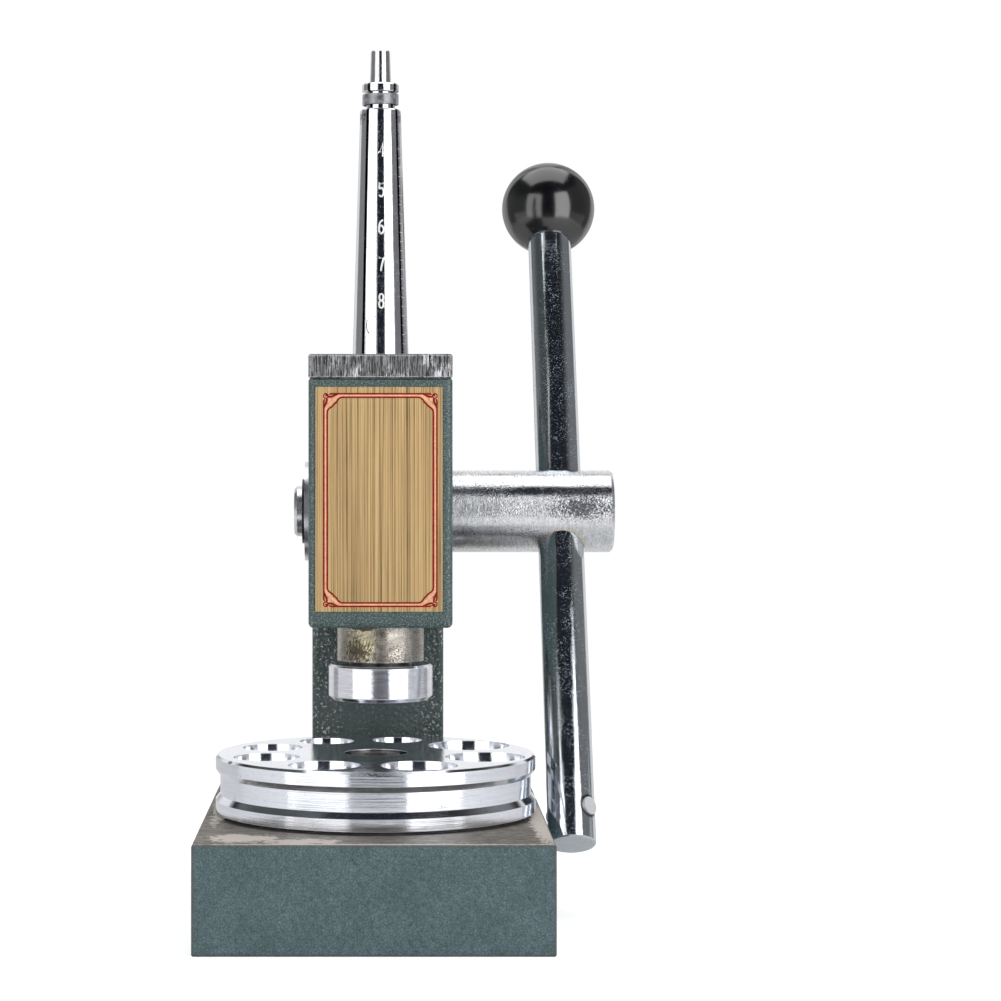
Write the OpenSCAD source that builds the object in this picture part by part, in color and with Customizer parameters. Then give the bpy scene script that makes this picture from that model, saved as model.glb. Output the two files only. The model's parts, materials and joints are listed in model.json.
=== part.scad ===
// Hand-lever ring stretcher and reducer for a jeweller's bench.
// A rack on the ram is driven by a pinion on the lever shaft. Raised, the ram pushes a taper pin up
// between the four leaves of the mandrel, which spread and stretch a ring. Lowered, its foot presses
// a ring into one of the funnel holes of the turning plate, which reduces it.
// X is to the right, Y to the back and Z up. The ram axis is at X = Y = 0, and the bench is Z = 0.

/* [Base block] */
// Width of the base block
base_w = 111.4; // [90:0.1:140]
// Length of the base block, front to back
base_l = 175; // [165:0.5:220]
// Height of the base block
base_h = 34; // [28:0.5:50]
// Distance from the ram axis forward to the front of the base
base_front = 111.4; // [98:0.1:125]
// Distance from the middle of the base to the right to the ram axis
base_side = 2; // [0:0.1:4]
// Bevel along the edges of the base
base_bevel = 0.5; // [0.2:0.1:2]

/* [Frame casting] */
// Width of the column and head
head_w = 48.4; // [44:0.1:60]
// Height of the head above the throat
head_h = 83.8; // [78:0.1:100]
// Distance from the ram axis forward to the front of the head
head_front = 29; // [25:0.1:36]
// Distance from the ram axis back to the front of the column
column_front = 22; // [20:0.1:24]
// Distance from the ram axis back to the back of the column
column_back = 58; // [52:0.1:70]
// Distance that the right side of the column stands in from the head's
column_in = 1.9; // [0:0.1:3]
// Radius of the cast edges
cast_edge_r = 2; // [0.5:0.1:4]
// Radius of the head's top edges, under the top plate
head_top_r = 1; // [0.3:0.1:2]
// Radius of the fillet where the throat meets the head
throat_r = 5; // [1:0.1:8]
// Depth of the recess for the feet of the leaves
recess_depth = 4; // [3:0.1:6]

/* [Top plate and name plate] */
// Thickness of the top plate
top_plate_t = 8.2; // [6:0.1:12]
// Thickness of the bare name plate
label_t = 0.5; // [0.3:0.1:1]
// Margin beside the name plate
label_side = 2.4; // [2:0.1:6]
// Extra margin at the right of the name plate
label_right = 1; // [0:0.1:2]
// Margin below the name plate
label_low = 5.6; // [2:0.1:10]
// Margin above the name plate
label_high = 2.9; // [2:0.1:10]

/* [Reducing plate] */
// Radius of the circle through the middles of the holes
hole_circle_r = 37.8; // [34:0.1:44]
// Distance from the plate's axis to the right to the ram axis
plate_side = 1.6; // [0:0.1:3]
// Number of funnel holes
hole_count = 8; // [4:1:8]
// Mouth diameter of the largest hole
largest_hole_d = 27.6; // [24:0.1:29]
// Difference in mouth diameter from hole to hole
hole_step = 1.5; // [0.8:0.1:2]
// Half angle of the funnels
hole_taper = 8; // [3:0.5:12]
// Height of the straight land in the middle of each hole
hole_land = 1.5; // [0.5:0.1:4]
// Wall between the largest hole and the rim
rim_wall = 1.4; // [1:0.1:5]
// Thickness of the plate
plate_t = 19.5; // [16:0.1:26]
// Height of each rim band
rim_band = 4.7; // [3:0.1:5.5]
// Height of each slope between a rim band and the waist
rim_slope = 2; // [1:0.1:2.5]
// Depth of the waist between the rim bands
waist_depth = 1.5; // [0.5:0.1:3]
// Bevel of the rim
rim_bevel = 0.8; // [0.3:0.1:1.5]
// Angle at which the largest hole stands, from +X towards the back
plate_angle = 33.6; // [0:0.1:360]

/* [Plate bolt] */
// Shoulder diameter that the plate turns on
shoulder_d = 12; // [10:0.1:14]
// Thread diameter in the base
plate_thread_d = 10; // [8:0.1:11.5]
// Depth of the thread in the base
plate_thread_l = 20; // [12:0.5:24]
// Diameter of the bolt head
plate_head_d = 16; // [14.5:0.1:18]
// Height of the bolt head
plate_head_h = 7.4; // [6:0.1:9]
// Width of its hexagon socket across the flats
plate_hex = 8; // [6:0.1:9]
// Diameter of the counterbore for the head
plate_recess_d = 21; // [19:0.1:24]
// Depth of the counterbore for the head
plate_recess_h = 9.5; // [9.1:0.1:11]
// Thickness of the washer under the head
plate_washer_t = 1.5; // [0.8:0.1:1.6]

/* [Ram and press foot] */
// Diameter of the ram
ram_d = 30; // [28:0.1:32]
// Travel of the ram upwards from rest
ram_lift = 13.8; // [10:0.1:16]
// Travel of the ram downwards from rest
ram_drop = 13.9; // [10:0.1:16]
// Gap between the top of the raised ram and the feet of the leaves
ram_top_gap = 1.1; // [0.5:0.1:3]
// Diameter of the press foot
foot_d = 36; // [32:0.1:42]
// Thickness of the press foot
foot_t = 12.3; // [9:0.1:14]
// Bevel at the bottom of the press foot
foot_bevel = 1.4; // [0.3:0.1:2.5]
// Diameter of the short neck above the foot
neck_d = 22; // [18:0.1:26]
// Height of the neck
neck_h = 1.2; // [1:0.1:4]
// Thread diameter of the screw that holds the foot
foot_screw_d = 6; // [5:0.1:8]
// Length of that thread
foot_screw_l = 24; // [14:0.5:30]
// Head diameter of that screw
foot_head_d = 10; // [9:0.1:13]
// Head height of that screw
foot_head_h = 6; // [5:0.1:7]

/* [Rack and pinion] */
// Tooth size: pitch diameter over teeth
gear_module = 2; // [1.9:0.05:2.2]
// Teeth on the pinion
pinion_teeth = 12; // [12:1:13]
// Pressure angle of the teeth
pressure_angle = 25; // [22:0.5:26]
// Play between a tooth and each flank beside it
tooth_play = 0.1; // [0.05:0.01:0.2]
// Width of the pinion's toothed face
pinion_face = 24; // [23.6:0.1:25]
// Depth of the flat on the ram that the rack is cut in
rack_flat = 1; // [0.8:0.1:1.5]
// Height of the shaft axis above the underside of the head
shaft_h = 37.8; // [34:0.1:45]
// Height of the shaft's surface above the tips of the teeth
tip_cover = 0.5; // [0.3:0.1:1.5]

/* [Lever shaft] */
// Length of shaft beyond the lever
shaft_end = 18.5; // [14:0.1:26]
// Bevel at the end of the shaft
shaft_bevel = 1; // [0.3:0.1:2]
// Diameter of the journal in the bush
journal_d = 18; // [15:0.1:20]
// Diameter of the bush flange
bush_flange_d = 35; // [33:0.1:42]
// Thickness of the bush flange
bush_flange_t = 2.45; // [1.5:0.05:4]
// Diameter of the black washer
shaft_washer_d = 22.8; // [21:0.1:26]
// Thickness of the black washer
shaft_washer_t = 0.8; // [0.5:0.1:1.5]
// Head diameter of the screw in the end of the shaft
shaft_head_d = 17.8; // [14:0.1:20]
// Head height of that screw
shaft_head_h = 2.8; // [2:0.1:5]
// Thread diameter of that screw
shaft_thread_d = 8; // [6:0.1:10]
// Length of that thread
shaft_thread_l = 16; // [10:0.5:24]
// Width of its hexagon socket across the flats
shaft_hex = 5; // [4:0.1:6]

/* [Lever] */
// Angle at which the lever leans back at rest
lever_lean = 30; // [0:0.5:40]
// Diameter of the lever bar
bar_d = 16; // [13:0.1:18]
// Gap between the bar and the side of the base
bar_base_gap = 1.9; // [0.5:0.1:6]
// Length of bar below the shaft axis
bar_low = 125.6; // [100:0.1:128]
// Distance from the shaft axis up the bar to the middle of the knob
knob_h = 130.3; // [100:0.1:180]
// Diameter of the ball knob
knob_d = 35; // [30:0.1:45]
// Diameter of the flat under the knob
knob_flat_d = 17; // [16.5:0.1:20]
// Diameter of the bar's spigot in the knob
spigot_d = 10; // [8:0.1:11]
// Length of that spigot
spigot_l = 14; // [10:0.1:16]
// Diameter of the brass insert in the knob
insert_d = 14; // [12.5:0.1:15]
// Length of the brass insert
insert_l = 15; // [14.5:0.1:18]
// Diameter of the stop pin near the end of the bar
stop_d = 6; // [4:0.1:8]
// Distance from the middle of the stop pin to the end of the bar
stop_end = 11.5; // [8:0.1:25]
// Height that the stop pin stands out of the bar
stop_out = 0.5; // [0.3:0.1:2]
// Angle round the bar from the front to the stop pin
stop_angle = 46; // [0:1:180]
// Diameter of the clamping screw in the end of the shaft
clamp_d = 8; // [6:0.1:10]
// Depth of that screw below the end face
clamp_sunk = 1.6; // [0.5:0.1:3]
// Width of its hexagon socket across the flats
clamp_hex = 4; // [3:0.1:4.5]

/* [Mandrel] */
// Height of the cone above the top plate
cone_h = 85.3; // [70:0.1:110]
// Diameter of the cone at its top
cone_tip_d = 14; // [13.6:0.1:16]
// Growth of the cone's diameter per millimetre
cone_taper = 0.0625; // [0.04:0.0005:0.09]
// Width of the slots between the leaves
slot_w = 0.9; // [0.8:0.05:1.5]
// Angle by which the four leaves are turned from square, to the right
leaf_turn = 6.4; // [0:0.1:45]
// Length of the neck under the lip
groove_h = 5.8; // [4.8:0.1:8]
// Radius of the neck
groove_r = 5; // [4.9:0.05:5.6]
// Height of the lip at the top of the leaves
lip_h = 3.1; // [2:0.1:5]
// Radius of the lip
lip_r = 6.35; // [6:0.05:6.8]
// Length of each leaf's foot beyond the hole in the top plate
leaf_foot_lap = 7.8; // [6:0.1:8.2]

/* [Taper pin] */
// Diameter of the pin at its tip
pin_tip_d = 6.6; // [5.5:0.1:6.8]
// Growth of the pin's diameter per millimetre
pin_taper = 0.06; // [0.04:0.001:0.062]
// Height of the pin's tip above the lip
pin_over = 11.6; // [4:0.1:20]
// Diameter of the pin's spigot in the ram
pin_spigot_d = 9; // [7:0.1:10]
// Length of that spigot
pin_spigot_l = 12; // [8:0.1:16]

/* [Leaf spring ring] */
// Diameter of the spring wire
wire_d = 0.75; // [0.5:0.05:0.78]
// Rise of the wire in each turn
wire_pitch = 1.2; // [1.19:0.01:1.3]
// Number of turns
wire_turns = 3; // [2:1:3]

/* [Fasteners] */
// Thread diameter of the column screws
column_screw_d = 10; // [8:0.1:12]
// Length of thread in the column
column_thread_l = 24; // [16:0.5:32]
// Head diameter of the column screws
column_head_d = 16; // [14.5:0.1:18]
// Head height of the column screws
column_head_h = 10; // [8:0.1:12]
// Depth of the column screws' heads in the base
column_sunk = 12.5; // [12:0.1:16]
// Distance between the column screws, side to side
column_pitch = 24; // [18:0.1:27]
// Thread diameter of the top plate's screws
plate_screw_d = 5; // [4:0.1:6]
// Length of thread in the casting
plate_screw_l = 9; // [6:0.1:14]
// Head diameter of the countersunk screws
plate_screw_head_d = 9.6; // [8.5:0.1:11]
// Distance from each screw to the edges of the top plate
plate_screw_inset = 6; // [5.8:0.1:6.5]

/* [Fits] */
// Radial running clearance of shafts, ram and plate
running_gap = 0.05; // [0.02:0.01:0.08]
// Radial clearance of the lever bar in the shaft
bar_gap = 0.08; // [0.03:0.01:0.1]
// Gap between flat faces that slide on each other
face_gap = 0.1; // [0.05:0.01:0.2]
// Gap that is left at the end of a travel
stop_gap = 0.3; // [0.2:0.05:1]
// Gap between the taper pin and the leaves
leaf_bore_gap = 0.25; // [0.2:0.01:0.4]
// End play of the lever shaft in its bush
end_play = 0.2; // [0.1:0.05:0.5]

/* [Hidden] */
round_fn = 96; // every $fn above 12 gives a true round surface
cut = 1; // how far a cutting tool runs past the face it cuts
leaf_pitch = 90; // angle from leaf to leaf

// Reducing plate, stacked from the top of the base. The plate's axis stands one circle radius in
// front of the ram, so that each hole can be turned under the ram.
plate_z = base_h + face_gap;
plate_top_z = plate_z + plate_t;
plate_y = -sqrt(hole_circle_r ^ 2 - plate_side ^ 2);
plate_r = hole_circle_r + largest_hole_d / 2 + rim_wall;
plate_floor_z = plate_top_z - plate_recess_h;
hole_radii = [for (i = [0 : hole_count - 1]) (largest_hole_d - i * hole_step) / 2];
// Half of the angle that each hole takes up on the circle, and the equal angle left between holes
hole_spans = [for (r = hole_radii) asin(r / hole_circle_r)];
function sum_to(list, n) = n <= 0 ? 0 : list[n - 1] + sum_to(list, n - 1);
hole_space = (360 - 2 * sum_to(hole_spans, hole_count)) / hole_count;
function hole_angle(i) =
    plate_angle - 2 * sum_to(hole_spans, i) - hole_spans[i] + hole_spans[0] - i * hole_space;

// Press foot, ram and head, stacked from the top of the plate
foot_z = plate_top_z + ram_drop + stop_gap;
foot_top_z = foot_z + foot_t;
ram_z = foot_top_z + neck_h;
head_z = foot_top_z + ram_lift + stop_gap;
head_top_z = head_z + head_h;
recess_z = head_top_z - recess_depth;
ram_top_z = recess_z - ram_lift - ram_top_gap;
ram_r = ram_d / 2;
ram_bore_r = ram_r + running_gap;

// Rack and pinion: the pitch line of the rack touches the pitch circle of the pinion
pitch_r = gear_module * pinion_teeth / 2;
tooth_tip_r = pitch_r + gear_module;
dedendum = 1.25 * gear_module;
tooth_root_r = pitch_r - dedendum;
base_circle_r = pitch_r * cos(pressure_angle);
rack_pitch = PI * gear_module;
rack_tip_y = ram_r - rack_flat;
rack_pitch_y = rack_tip_y - gear_module;
shaft_y = rack_pitch_y + pitch_r;
shaft_z = head_z + shaft_h;
gaps_below = ceil((ram_lift + sqrt(tooth_tip_r ^ 2 - (shaft_y - rack_tip_y) ^ 2)) / rack_pitch);
rack_z = shaft_z - (gaps_below + 0.12) * rack_pitch;
gaps_above = floor((ram_top_z - shaft_z) / rack_pitch);
shaft_r = tooth_tip_r + tip_cover;
shaft_bore_r = shaft_r + running_gap;
journal_bore_r = journal_d / 2 + running_gap;
// Roll angle of the involute from its base circle, in degrees
function roll_angle(r) = sqrt((r / base_circle_r) ^ 2 - 1) * 180 / PI;
// Polar angle that the involute has turned through at a radius
function involute_angle(r) = roll_angle(r) - acos(base_circle_r / r);
half_tooth = 90 / pinion_teeth - tooth_play / 2 / pitch_r * 180 / PI + involute_angle(pitch_r);
flank_steps = 6;

// Lever shaft, from the left side of the casting to the right end
head_half = head_w / 2;
pinion_half = pinion_face / 2;
bush_face_x = -head_half - bush_flange_t;
journal_end_x = bush_face_x - end_play;
lever_x = base_w / 2 - base_side + bar_base_gap + bar_d / 2;
shaft_end_x = lever_x + shaft_end;
bar_hole_r = bar_d / 2 + bar_gap;
clamp_in_x = lever_x + bar_d / 2 + stop_gap;
clamp_out_x = shaft_end_x - clamp_sunk;
knob_r = knob_d / 2;
knob_seat = knob_h - sqrt(knob_r ^ 2 - (knob_flat_d / 2) ^ 2);

// Mandrel: radii at a height, of the cone, of the taper pin and of the leaves' bore
top_plate_z = head_top_z + top_plate_t;
cone_top_z = top_plate_z + cone_h;
lip_z = cone_top_z + groove_h;
lip_top_z = lip_z + lip_h;
pin_top_z = lip_top_z + pin_over;
function cone_r(z) = (cone_tip_d + cone_taper * (cone_top_z - z)) / 2;
function pin_r(z) = (pin_tip_d + pin_taper * (pin_top_z - z)) / 2;
function leaf_bore_r(z) = pin_r(z) + leaf_bore_gap;
leaf_out = ram_lift * pin_taper / 2;
leaf_foot_z = recess_z + face_gap;
leaf_foot_top_z = head_top_z - face_gap;
plate_hole_r = cone_r(head_top_z) + leaf_out + stop_gap;
leaf_foot_r = plate_hole_r + leaf_foot_lap;
recess_r = leaf_foot_r + leaf_out + stop_gap;

// Spring ring round the neck, close under the lip
ring_gap = 0.15;
ring_r = groove_r + leaf_out + ring_gap + wire_d / 2;
ring_z = lip_z - ring_gap - wire_d / 2 - wire_turns * wire_pitch;
ring_steps = 24;
ring_sides = 6;

// A cylinder or cone from one height to another
module rod(r1, z1, z2, r2 = undef) {
    translate([0, 0, z1])
        cylinder(h = z2 - z1, r1 = r1, r2 = is_undef(r2) ? r1 : r2, $fn = round_fn);
}

// A hexagon socket, measured across its flats
module hex_socket(flats, z1, z2) {
    translate([0, 0, z1]) cylinder(h = z2 - z1, r = flats / 2 / cos(30), $fn = 6);
}

// Lays what stands on Z along +X through the lever shaft's axis
module on_shaft() {
    translate([0, shaft_y, shaft_z]) rotate([0, 90, 0]) children();
}

// Lays what stands on Z along the lever bar, with its origin at the shaft axis
module on_lever() {
    translate([lever_x, shaft_y, shaft_z]) rotate([-lever_lean, 0, 0]) children();
}

// Outline of a rectangle from a low to a high corner, with bevelled corners
module bevelled_rect(low, high, bevel) {
    polygon([
        [low.x + bevel, low.y], [high.x - bevel, low.y], [high.x, low.y + bevel],
        [high.x, high.y - bevel], [high.x - bevel, high.y], [low.x + bevel, high.y],
        [low.x, high.y - bevel], [low.x, low.y + bevel]
    ]);
}

// A block from a low to a high corner with every edge bevelled
module bevelled_block(low, high, bevel) {
    size = high - low;
    intersection() {
        translate([0, 0, low.z]) linear_extrude(size.z)
            bevelled_rect([low.x, low.y], [high.x, high.y], bevel);
        translate([low.x, 0, 0]) rotate([90, 0, 90]) linear_extrude(size.x)
            bevelled_rect([low.y, low.z], [high.y, high.z], bevel);
        translate([0, high.y, 0]) rotate([90, 0, 0]) linear_extrude(size.y)
            bevelled_rect([low.x, low.z], [high.x, high.z], bevel);
    }
}

// Outline of a rectangle from a low to a high corner, with round corners
module round_rect(low, high, r) {
    translate([low.x + r, low.y]) square([high.x - low.x - 2 * r, high.y - low.y]);
    translate([low.x, low.y + r]) square([high.x - low.x, high.y - low.y - 2 * r]);
    for (x = [low.x + r, high.x - r], y = [low.y + r, high.y - r])
        translate([x, y]) circle(r, $fn = round_fn);
}

// Places of the column screws, and of the top plate's screws
module at_column_screws() {
    for (x = [-column_pitch / 2, column_pitch / 2])
        translate([x, (column_front + column_back) / 2, 0]) children();
}
module at_top_screws() {
    for (
        x = [plate_screw_inset - head_half, head_half - plate_screw_inset],
        y = [plate_screw_inset - head_front, column_back - plate_screw_inset]
    ) translate([x, y, 0]) children();
}

module base_block() {
    color([0.35, 0.44, 0.44]) difference() {
        bevelled_block(
            [-base_w / 2 - base_side, -base_front, 0],
            [base_w / 2 - base_side, base_l - base_front, base_h], base_bevel
        );
        translate([-plate_side, plate_y, 0])
            rod(plate_thread_d / 2 + running_gap, base_h - plate_thread_l - cut, base_h + cut);
        at_column_screws() {
            rod(column_screw_d / 2 + 2 * running_gap, -cut, base_h + cut);
            rod(column_head_d / 2 + cut, -cut, column_sunk);
        }
    }
}

// The head is round at every edge, and less so under the top plate
module casting_head() {
    reach = head_top_z + 2 * cast_edge_r;
    intersection() {
        translate([-head_half, 0, 0]) rotate([90, 0, 90]) linear_extrude(head_w)
            round_rect([-head_front, head_z], [column_back, reach], cast_edge_r);
        translate([0, column_back, 0]) rotate([90, 0, 0]) linear_extrude(head_front + column_back)
            round_rect([-head_half, head_z], [head_half, reach], cast_edge_r);
        translate([-head_half, 0, 0]) rotate([90, 0, 90]) linear_extrude(head_w)
            round_rect([-head_front, head_z - reach], [column_back, head_top_z], head_top_r);
        translate([0, column_back, 0]) rotate([90, 0, 0]) linear_extrude(head_front + column_back)
            round_rect([-head_half, head_z - reach], [head_half, head_top_z], head_top_r);
        linear_extrude(head_top_z)
            round_rect([-head_half, -head_front], [head_half, column_back], cast_edge_r);
    }
}

// The column stands under the back of the head, with a fillet at the top of the throat
module casting_column() {
    fillet_w = head_w - column_in - 2 * cast_edge_r;
    translate([0, 0, base_h]) linear_extrude(head_z - base_h + 2 * cast_edge_r)
        round_rect([-head_half, column_front], [head_half - column_in, column_back], cast_edge_r);
    translate([cast_edge_r - head_half, column_front - throat_r, head_z - throat_r]) rotate([90, 0, 90])
        linear_extrude(fillet_w) difference() {
            square(throat_r + cast_edge_r);
            circle(throat_r, $fn = round_fn);
        }
}

module frame_casting() {
    color([0.31, 0.41, 0.39]) difference() {
        union() {
            casting_head();
            casting_column();
        }
        rod(ram_bore_r, head_z - throat_r - cut, head_top_z + cut);
        rod(recess_r, recess_z, head_top_z + cut);
        on_shaft() rod(shaft_bore_r, -head_half - cut, head_half + cut);
        at_column_screws()
            rod(column_screw_d / 2 + running_gap, base_h - cut, base_h + column_thread_l + cut);
        at_top_screws()
            rod(plate_screw_d / 2 + running_gap, head_top_z - plate_screw_l - cut, head_top_z + cut);
    }
}

module column_screws() {
    color([0.25, 0.25, 0.26]) at_column_screws() difference() {
        union() {
            rod(column_head_d / 2, column_sunk - column_head_h, column_sunk);
            rod(column_screw_d / 2, column_sunk, base_h + column_thread_l);
        }
        hex_socket(column_screw_d * 0.8, column_sunk - column_head_h - cut, column_sunk - column_head_h / 2);
    }
}

module top_plate() {
    sink_h = (plate_screw_head_d - plate_screw_d) / 2;
    color([0.62, 0.63, 0.64]) difference() {
        bevelled_block(
            [-head_half, -head_front, head_top_z], [head_half, column_back, top_plate_z], base_bevel
        );
        rod(plate_hole_r, head_top_z - cut, top_plate_z + cut);
        at_top_screws() {
            rod(plate_screw_d / 2 + running_gap, head_top_z - cut, top_plate_z + cut);
            rod(
                plate_screw_d / 2 + running_gap, top_plate_z - sink_h, top_plate_z + cut,
                plate_screw_head_d / 2 + running_gap + cut
            );
        }
    }
}

module top_plate_screws() {
    sink_h = (plate_screw_head_d - plate_screw_d) / 2;
    color([0.55, 0.55, 0.56]) at_top_screws() difference() {
        union() {
            rod(plate_screw_d / 2, head_top_z - plate_screw_l, top_plate_z - sink_h);
            rod(plate_screw_d / 2, top_plate_z - sink_h, top_plate_z, plate_screw_head_d / 2);
        }
        hex_socket(plate_screw_d * 0.6, top_plate_z - sink_h, top_plate_z + cut);
    }
}

module name_plate() {
    color([0.74, 0.63, 0.42])
        translate([label_side - head_half, -head_front - label_t, head_z + label_low])
            cube([head_w - 2 * label_side - label_right, label_t, head_h - label_low - label_high]);
}

// One funnel from both faces of the plate to the land in its middle
module funnel(mouth_r) {
    slope_h = (plate_t - hole_land) / 2;
    land_r = mouth_r - slope_h * tan(hole_taper);
    wide_r = mouth_r + cut * tan(hole_taper);
    rod(land_r, slope_h - cut, plate_t - slope_h + cut);
    rod(wide_r, -cut, slope_h, land_r);
    rod(land_r, plate_t - slope_h, plate_t + cut, wide_r);
}

module reducing_plate() {
    waist_r = plate_r - waist_depth;
    color([0.78, 0.8, 0.82]) translate([-plate_side, plate_y, plate_z]) difference() {
        rotate_extrude($fn = 2 * round_fn) polygon([
            [0, 0], [plate_r - rim_bevel, 0], [plate_r, rim_bevel], [plate_r, rim_band],
            [waist_r, rim_band + rim_slope], [waist_r, plate_t - rim_band - rim_slope],
            [plate_r, plate_t - rim_band], [plate_r, plate_t - rim_bevel],
            [plate_r - rim_bevel, plate_t], [0, plate_t]
        ]);
        rod(shoulder_d / 2 + running_gap, -cut, plate_t + cut);
        rod(plate_recess_d / 2, plate_t - plate_recess_h, plate_t + cut);
        for (i = [0 : hole_count - 1])
            rotate([0, 0, hole_angle(i)]) translate([hole_circle_r, 0, 0]) funnel(hole_radii[i]);
    }
}

// The shoulder stands a little above the counterbore's floor, so that the plate turns freely
module plate_bolt() {
    shoulder_top_z = plate_floor_z + face_gap;
    head_low_z = shoulder_top_z + plate_washer_t;
    color([0.45, 0.4, 0.36]) translate([-plate_side, plate_y, 0]) difference() {
        union() {
            rod(plate_thread_d / 2, base_h - plate_thread_l, base_h);
            rod(shoulder_d / 2, base_h, head_low_z);
            rod(plate_head_d / 2, head_low_z, head_low_z + plate_head_h);
        }
        hex_socket(plate_hex, head_low_z + plate_head_h / 2, head_low_z + plate_head_h + cut);
    }
}

module plate_washer() {
    color([0.5, 0.48, 0.45]) translate([-plate_side, plate_y, plate_floor_z + face_gap]) difference() {
        rod((plate_head_d + plate_recess_d) / 4, 0, plate_washer_t);
        rod(shoulder_d / 2 + running_gap, -cut, plate_washer_t + cut);
    }
}

// Gap between two rack teeth, with Y to the right, and half a rack pitch to each side of its middle
module rack_gap() {
    half_w = rack_pitch / 4 + tooth_play / 2;
    deep = half_w - dedendum * tan(pressure_angle);
    wide = half_w + (gear_module + cut + rack_flat) * tan(pressure_angle);
    polygon([
        [rack_pitch_y - dedendum, -deep], [ram_r + cut, -wide],
        [ram_r + cut, wide], [rack_pitch_y - dedendum, deep]
    ]);
}

module ram() {
    color([0.6, 0.58, 0.54]) difference() {
        union() {
            rod(ram_r, ram_z, ram_top_z);
            rod(neck_d / 2, foot_top_z, ram_z);
        }
        translate([-ram_r, rack_tip_y, rack_z]) cube([ram_d, ram_r, ram_top_z - rack_z + cut]);
        for (i = [-gaps_below : gaps_above - 1])
            translate([-ram_r, 0, shaft_z + (i + 0.5) * rack_pitch])
                rotate([90, 0, 90]) linear_extrude(ram_d) rack_gap();
        rod(pin_spigot_d / 2 + running_gap, ram_top_z - pin_spigot_l - cut, ram_top_z + cut);
        rod(foot_screw_d / 2 + running_gap, foot_top_z - cut, foot_top_z + foot_screw_l);
    }
}

module press_foot() {
    color([0.8, 0.81, 0.82]) difference() {
        union() {
            rod(foot_d / 2 - foot_bevel, foot_z, foot_z + foot_bevel, foot_d / 2);
            rod(foot_d / 2, foot_z + foot_bevel, foot_top_z - foot_bevel / 2);
            rod(foot_d / 2, foot_top_z - foot_bevel / 2, foot_top_z, foot_d / 2 - foot_bevel / 2);
        }
        rod(foot_screw_d / 2 + 2 * running_gap, foot_z - cut, foot_top_z + cut);
        rod(foot_head_d / 2 + stop_gap, foot_z - cut, foot_z + foot_head_h + stop_gap);
    }
}

module press_foot_screw() {
    head_low_z = foot_z + stop_gap;
    color([0.3, 0.3, 0.31]) difference() {
        union() {
            rod(foot_head_d / 2, head_low_z, head_low_z + foot_head_h);
            rod(foot_screw_d / 2, head_low_z + foot_head_h, foot_top_z + foot_screw_l - cut);
        }
        hex_socket(foot_screw_d * 0.8, head_low_z - cut, head_low_z + foot_head_h / 2);
    }
}

module expander_pin() {
    tip_bevel = pin_tip_d / 16;
    color([0.7, 0.72, 0.74]) {
        rod(pin_spigot_d / 2, ram_top_z - pin_spigot_l, ram_top_z);
        rod(pin_r(ram_top_z), ram_top_z, pin_top_z - tip_bevel, pin_r(pin_top_z - tip_bevel));
        rod(pin_r(pin_top_z - tip_bevel), pin_top_z - tip_bevel, pin_top_z, pin_tip_d / 2 - tip_bevel);
    }
}

// One leaf: a quarter of the turned mandrel, less half a slot on each side. Leaf 0 faces the front.
module mandrel_leaf(i) {
    reach = 2 * leaf_foot_r;
    apex = slot_w / sqrt(2);
    edge_bevel = 0.5;
    color([0.76, 0.78, 0.8]) rotate([0, 0, leaf_turn + (i - 1) * leaf_pitch]) intersection() {
        rotate_extrude($fn = round_fn) polygon([
            [leaf_bore_r(leaf_foot_z), leaf_foot_z], [leaf_foot_r, leaf_foot_z],
            [leaf_foot_r, leaf_foot_top_z], [cone_r(leaf_foot_top_z), leaf_foot_top_z],
            [cone_r(cone_top_z - edge_bevel), cone_top_z - edge_bevel],
            [cone_r(cone_top_z) - edge_bevel, cone_top_z], [groove_r, cone_top_z],
            [groove_r, lip_z], [lip_r - edge_bevel, lip_z], [lip_r, lip_z + edge_bevel],
            [lip_r, lip_top_z - edge_bevel], [lip_r - edge_bevel, lip_top_z],
            [leaf_bore_r(lip_top_z), lip_top_z]
        ]);
        translate([0, 0, leaf_foot_z - cut]) linear_extrude(lip_top_z - leaf_foot_z + 2 * cut)
            polygon([[apex, 0], [apex + reach, reach], [apex + reach, -reach]]);
    }
}
module leaf_front() mandrel_leaf(0);
module leaf_right() mandrel_leaf(1);
module leaf_back() mandrel_leaf(2);
module leaf_left() mandrel_leaf(3);

// Middle of the wire at a number of turns from its start
function wire_point(turn, r) = [
    r * cos(360 * turn), r * sin(360 * turn), ring_z + wire_pitch * turn
];
wire_rings = wire_turns * ring_steps;
wire_gap = min([
    for (a = [0 : wire_rings - ring_steps / 2], b = [a + ring_steps / 2 : wire_rings])
        norm(wire_point(a / ring_steps, ring_r) - wire_point(b / ring_steps, ring_r))
]) - wire_d;
echo("least gap between turns of the spring ring", wire_gap);

// The spring ring is one wire swept along a helix, with a flat six-sided end at each end
module leaf_spring_ring() {
    points = [
        for (a = [0 : wire_rings], s = [0 : ring_sides - 1])
            wire_point(a / ring_steps, ring_r + wire_d / 2 * cos(360 * s / ring_sides))
                + [0, 0, wire_d / 2 * sin(360 * s / ring_sides)]
    ];
    sides = [
        for (a = [0 : wire_rings - 1], s = [0 : ring_sides - 1])
            let (t = (s + 1) % ring_sides, low = a * ring_sides, high = low + ring_sides)
            each [[low + s, high + s, high + t], [low + s, high + t, low + t]]
    ];
    last = wire_rings * ring_sides;
    ends = [
        for (s = [1 : ring_sides - 2])
            each [[0, s, s + 1], [last, last + s + 1, last + s]]
    ];
    color([0.45, 0.46, 0.48]) polyhedron(points, concat(sides, ends));
}

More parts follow.
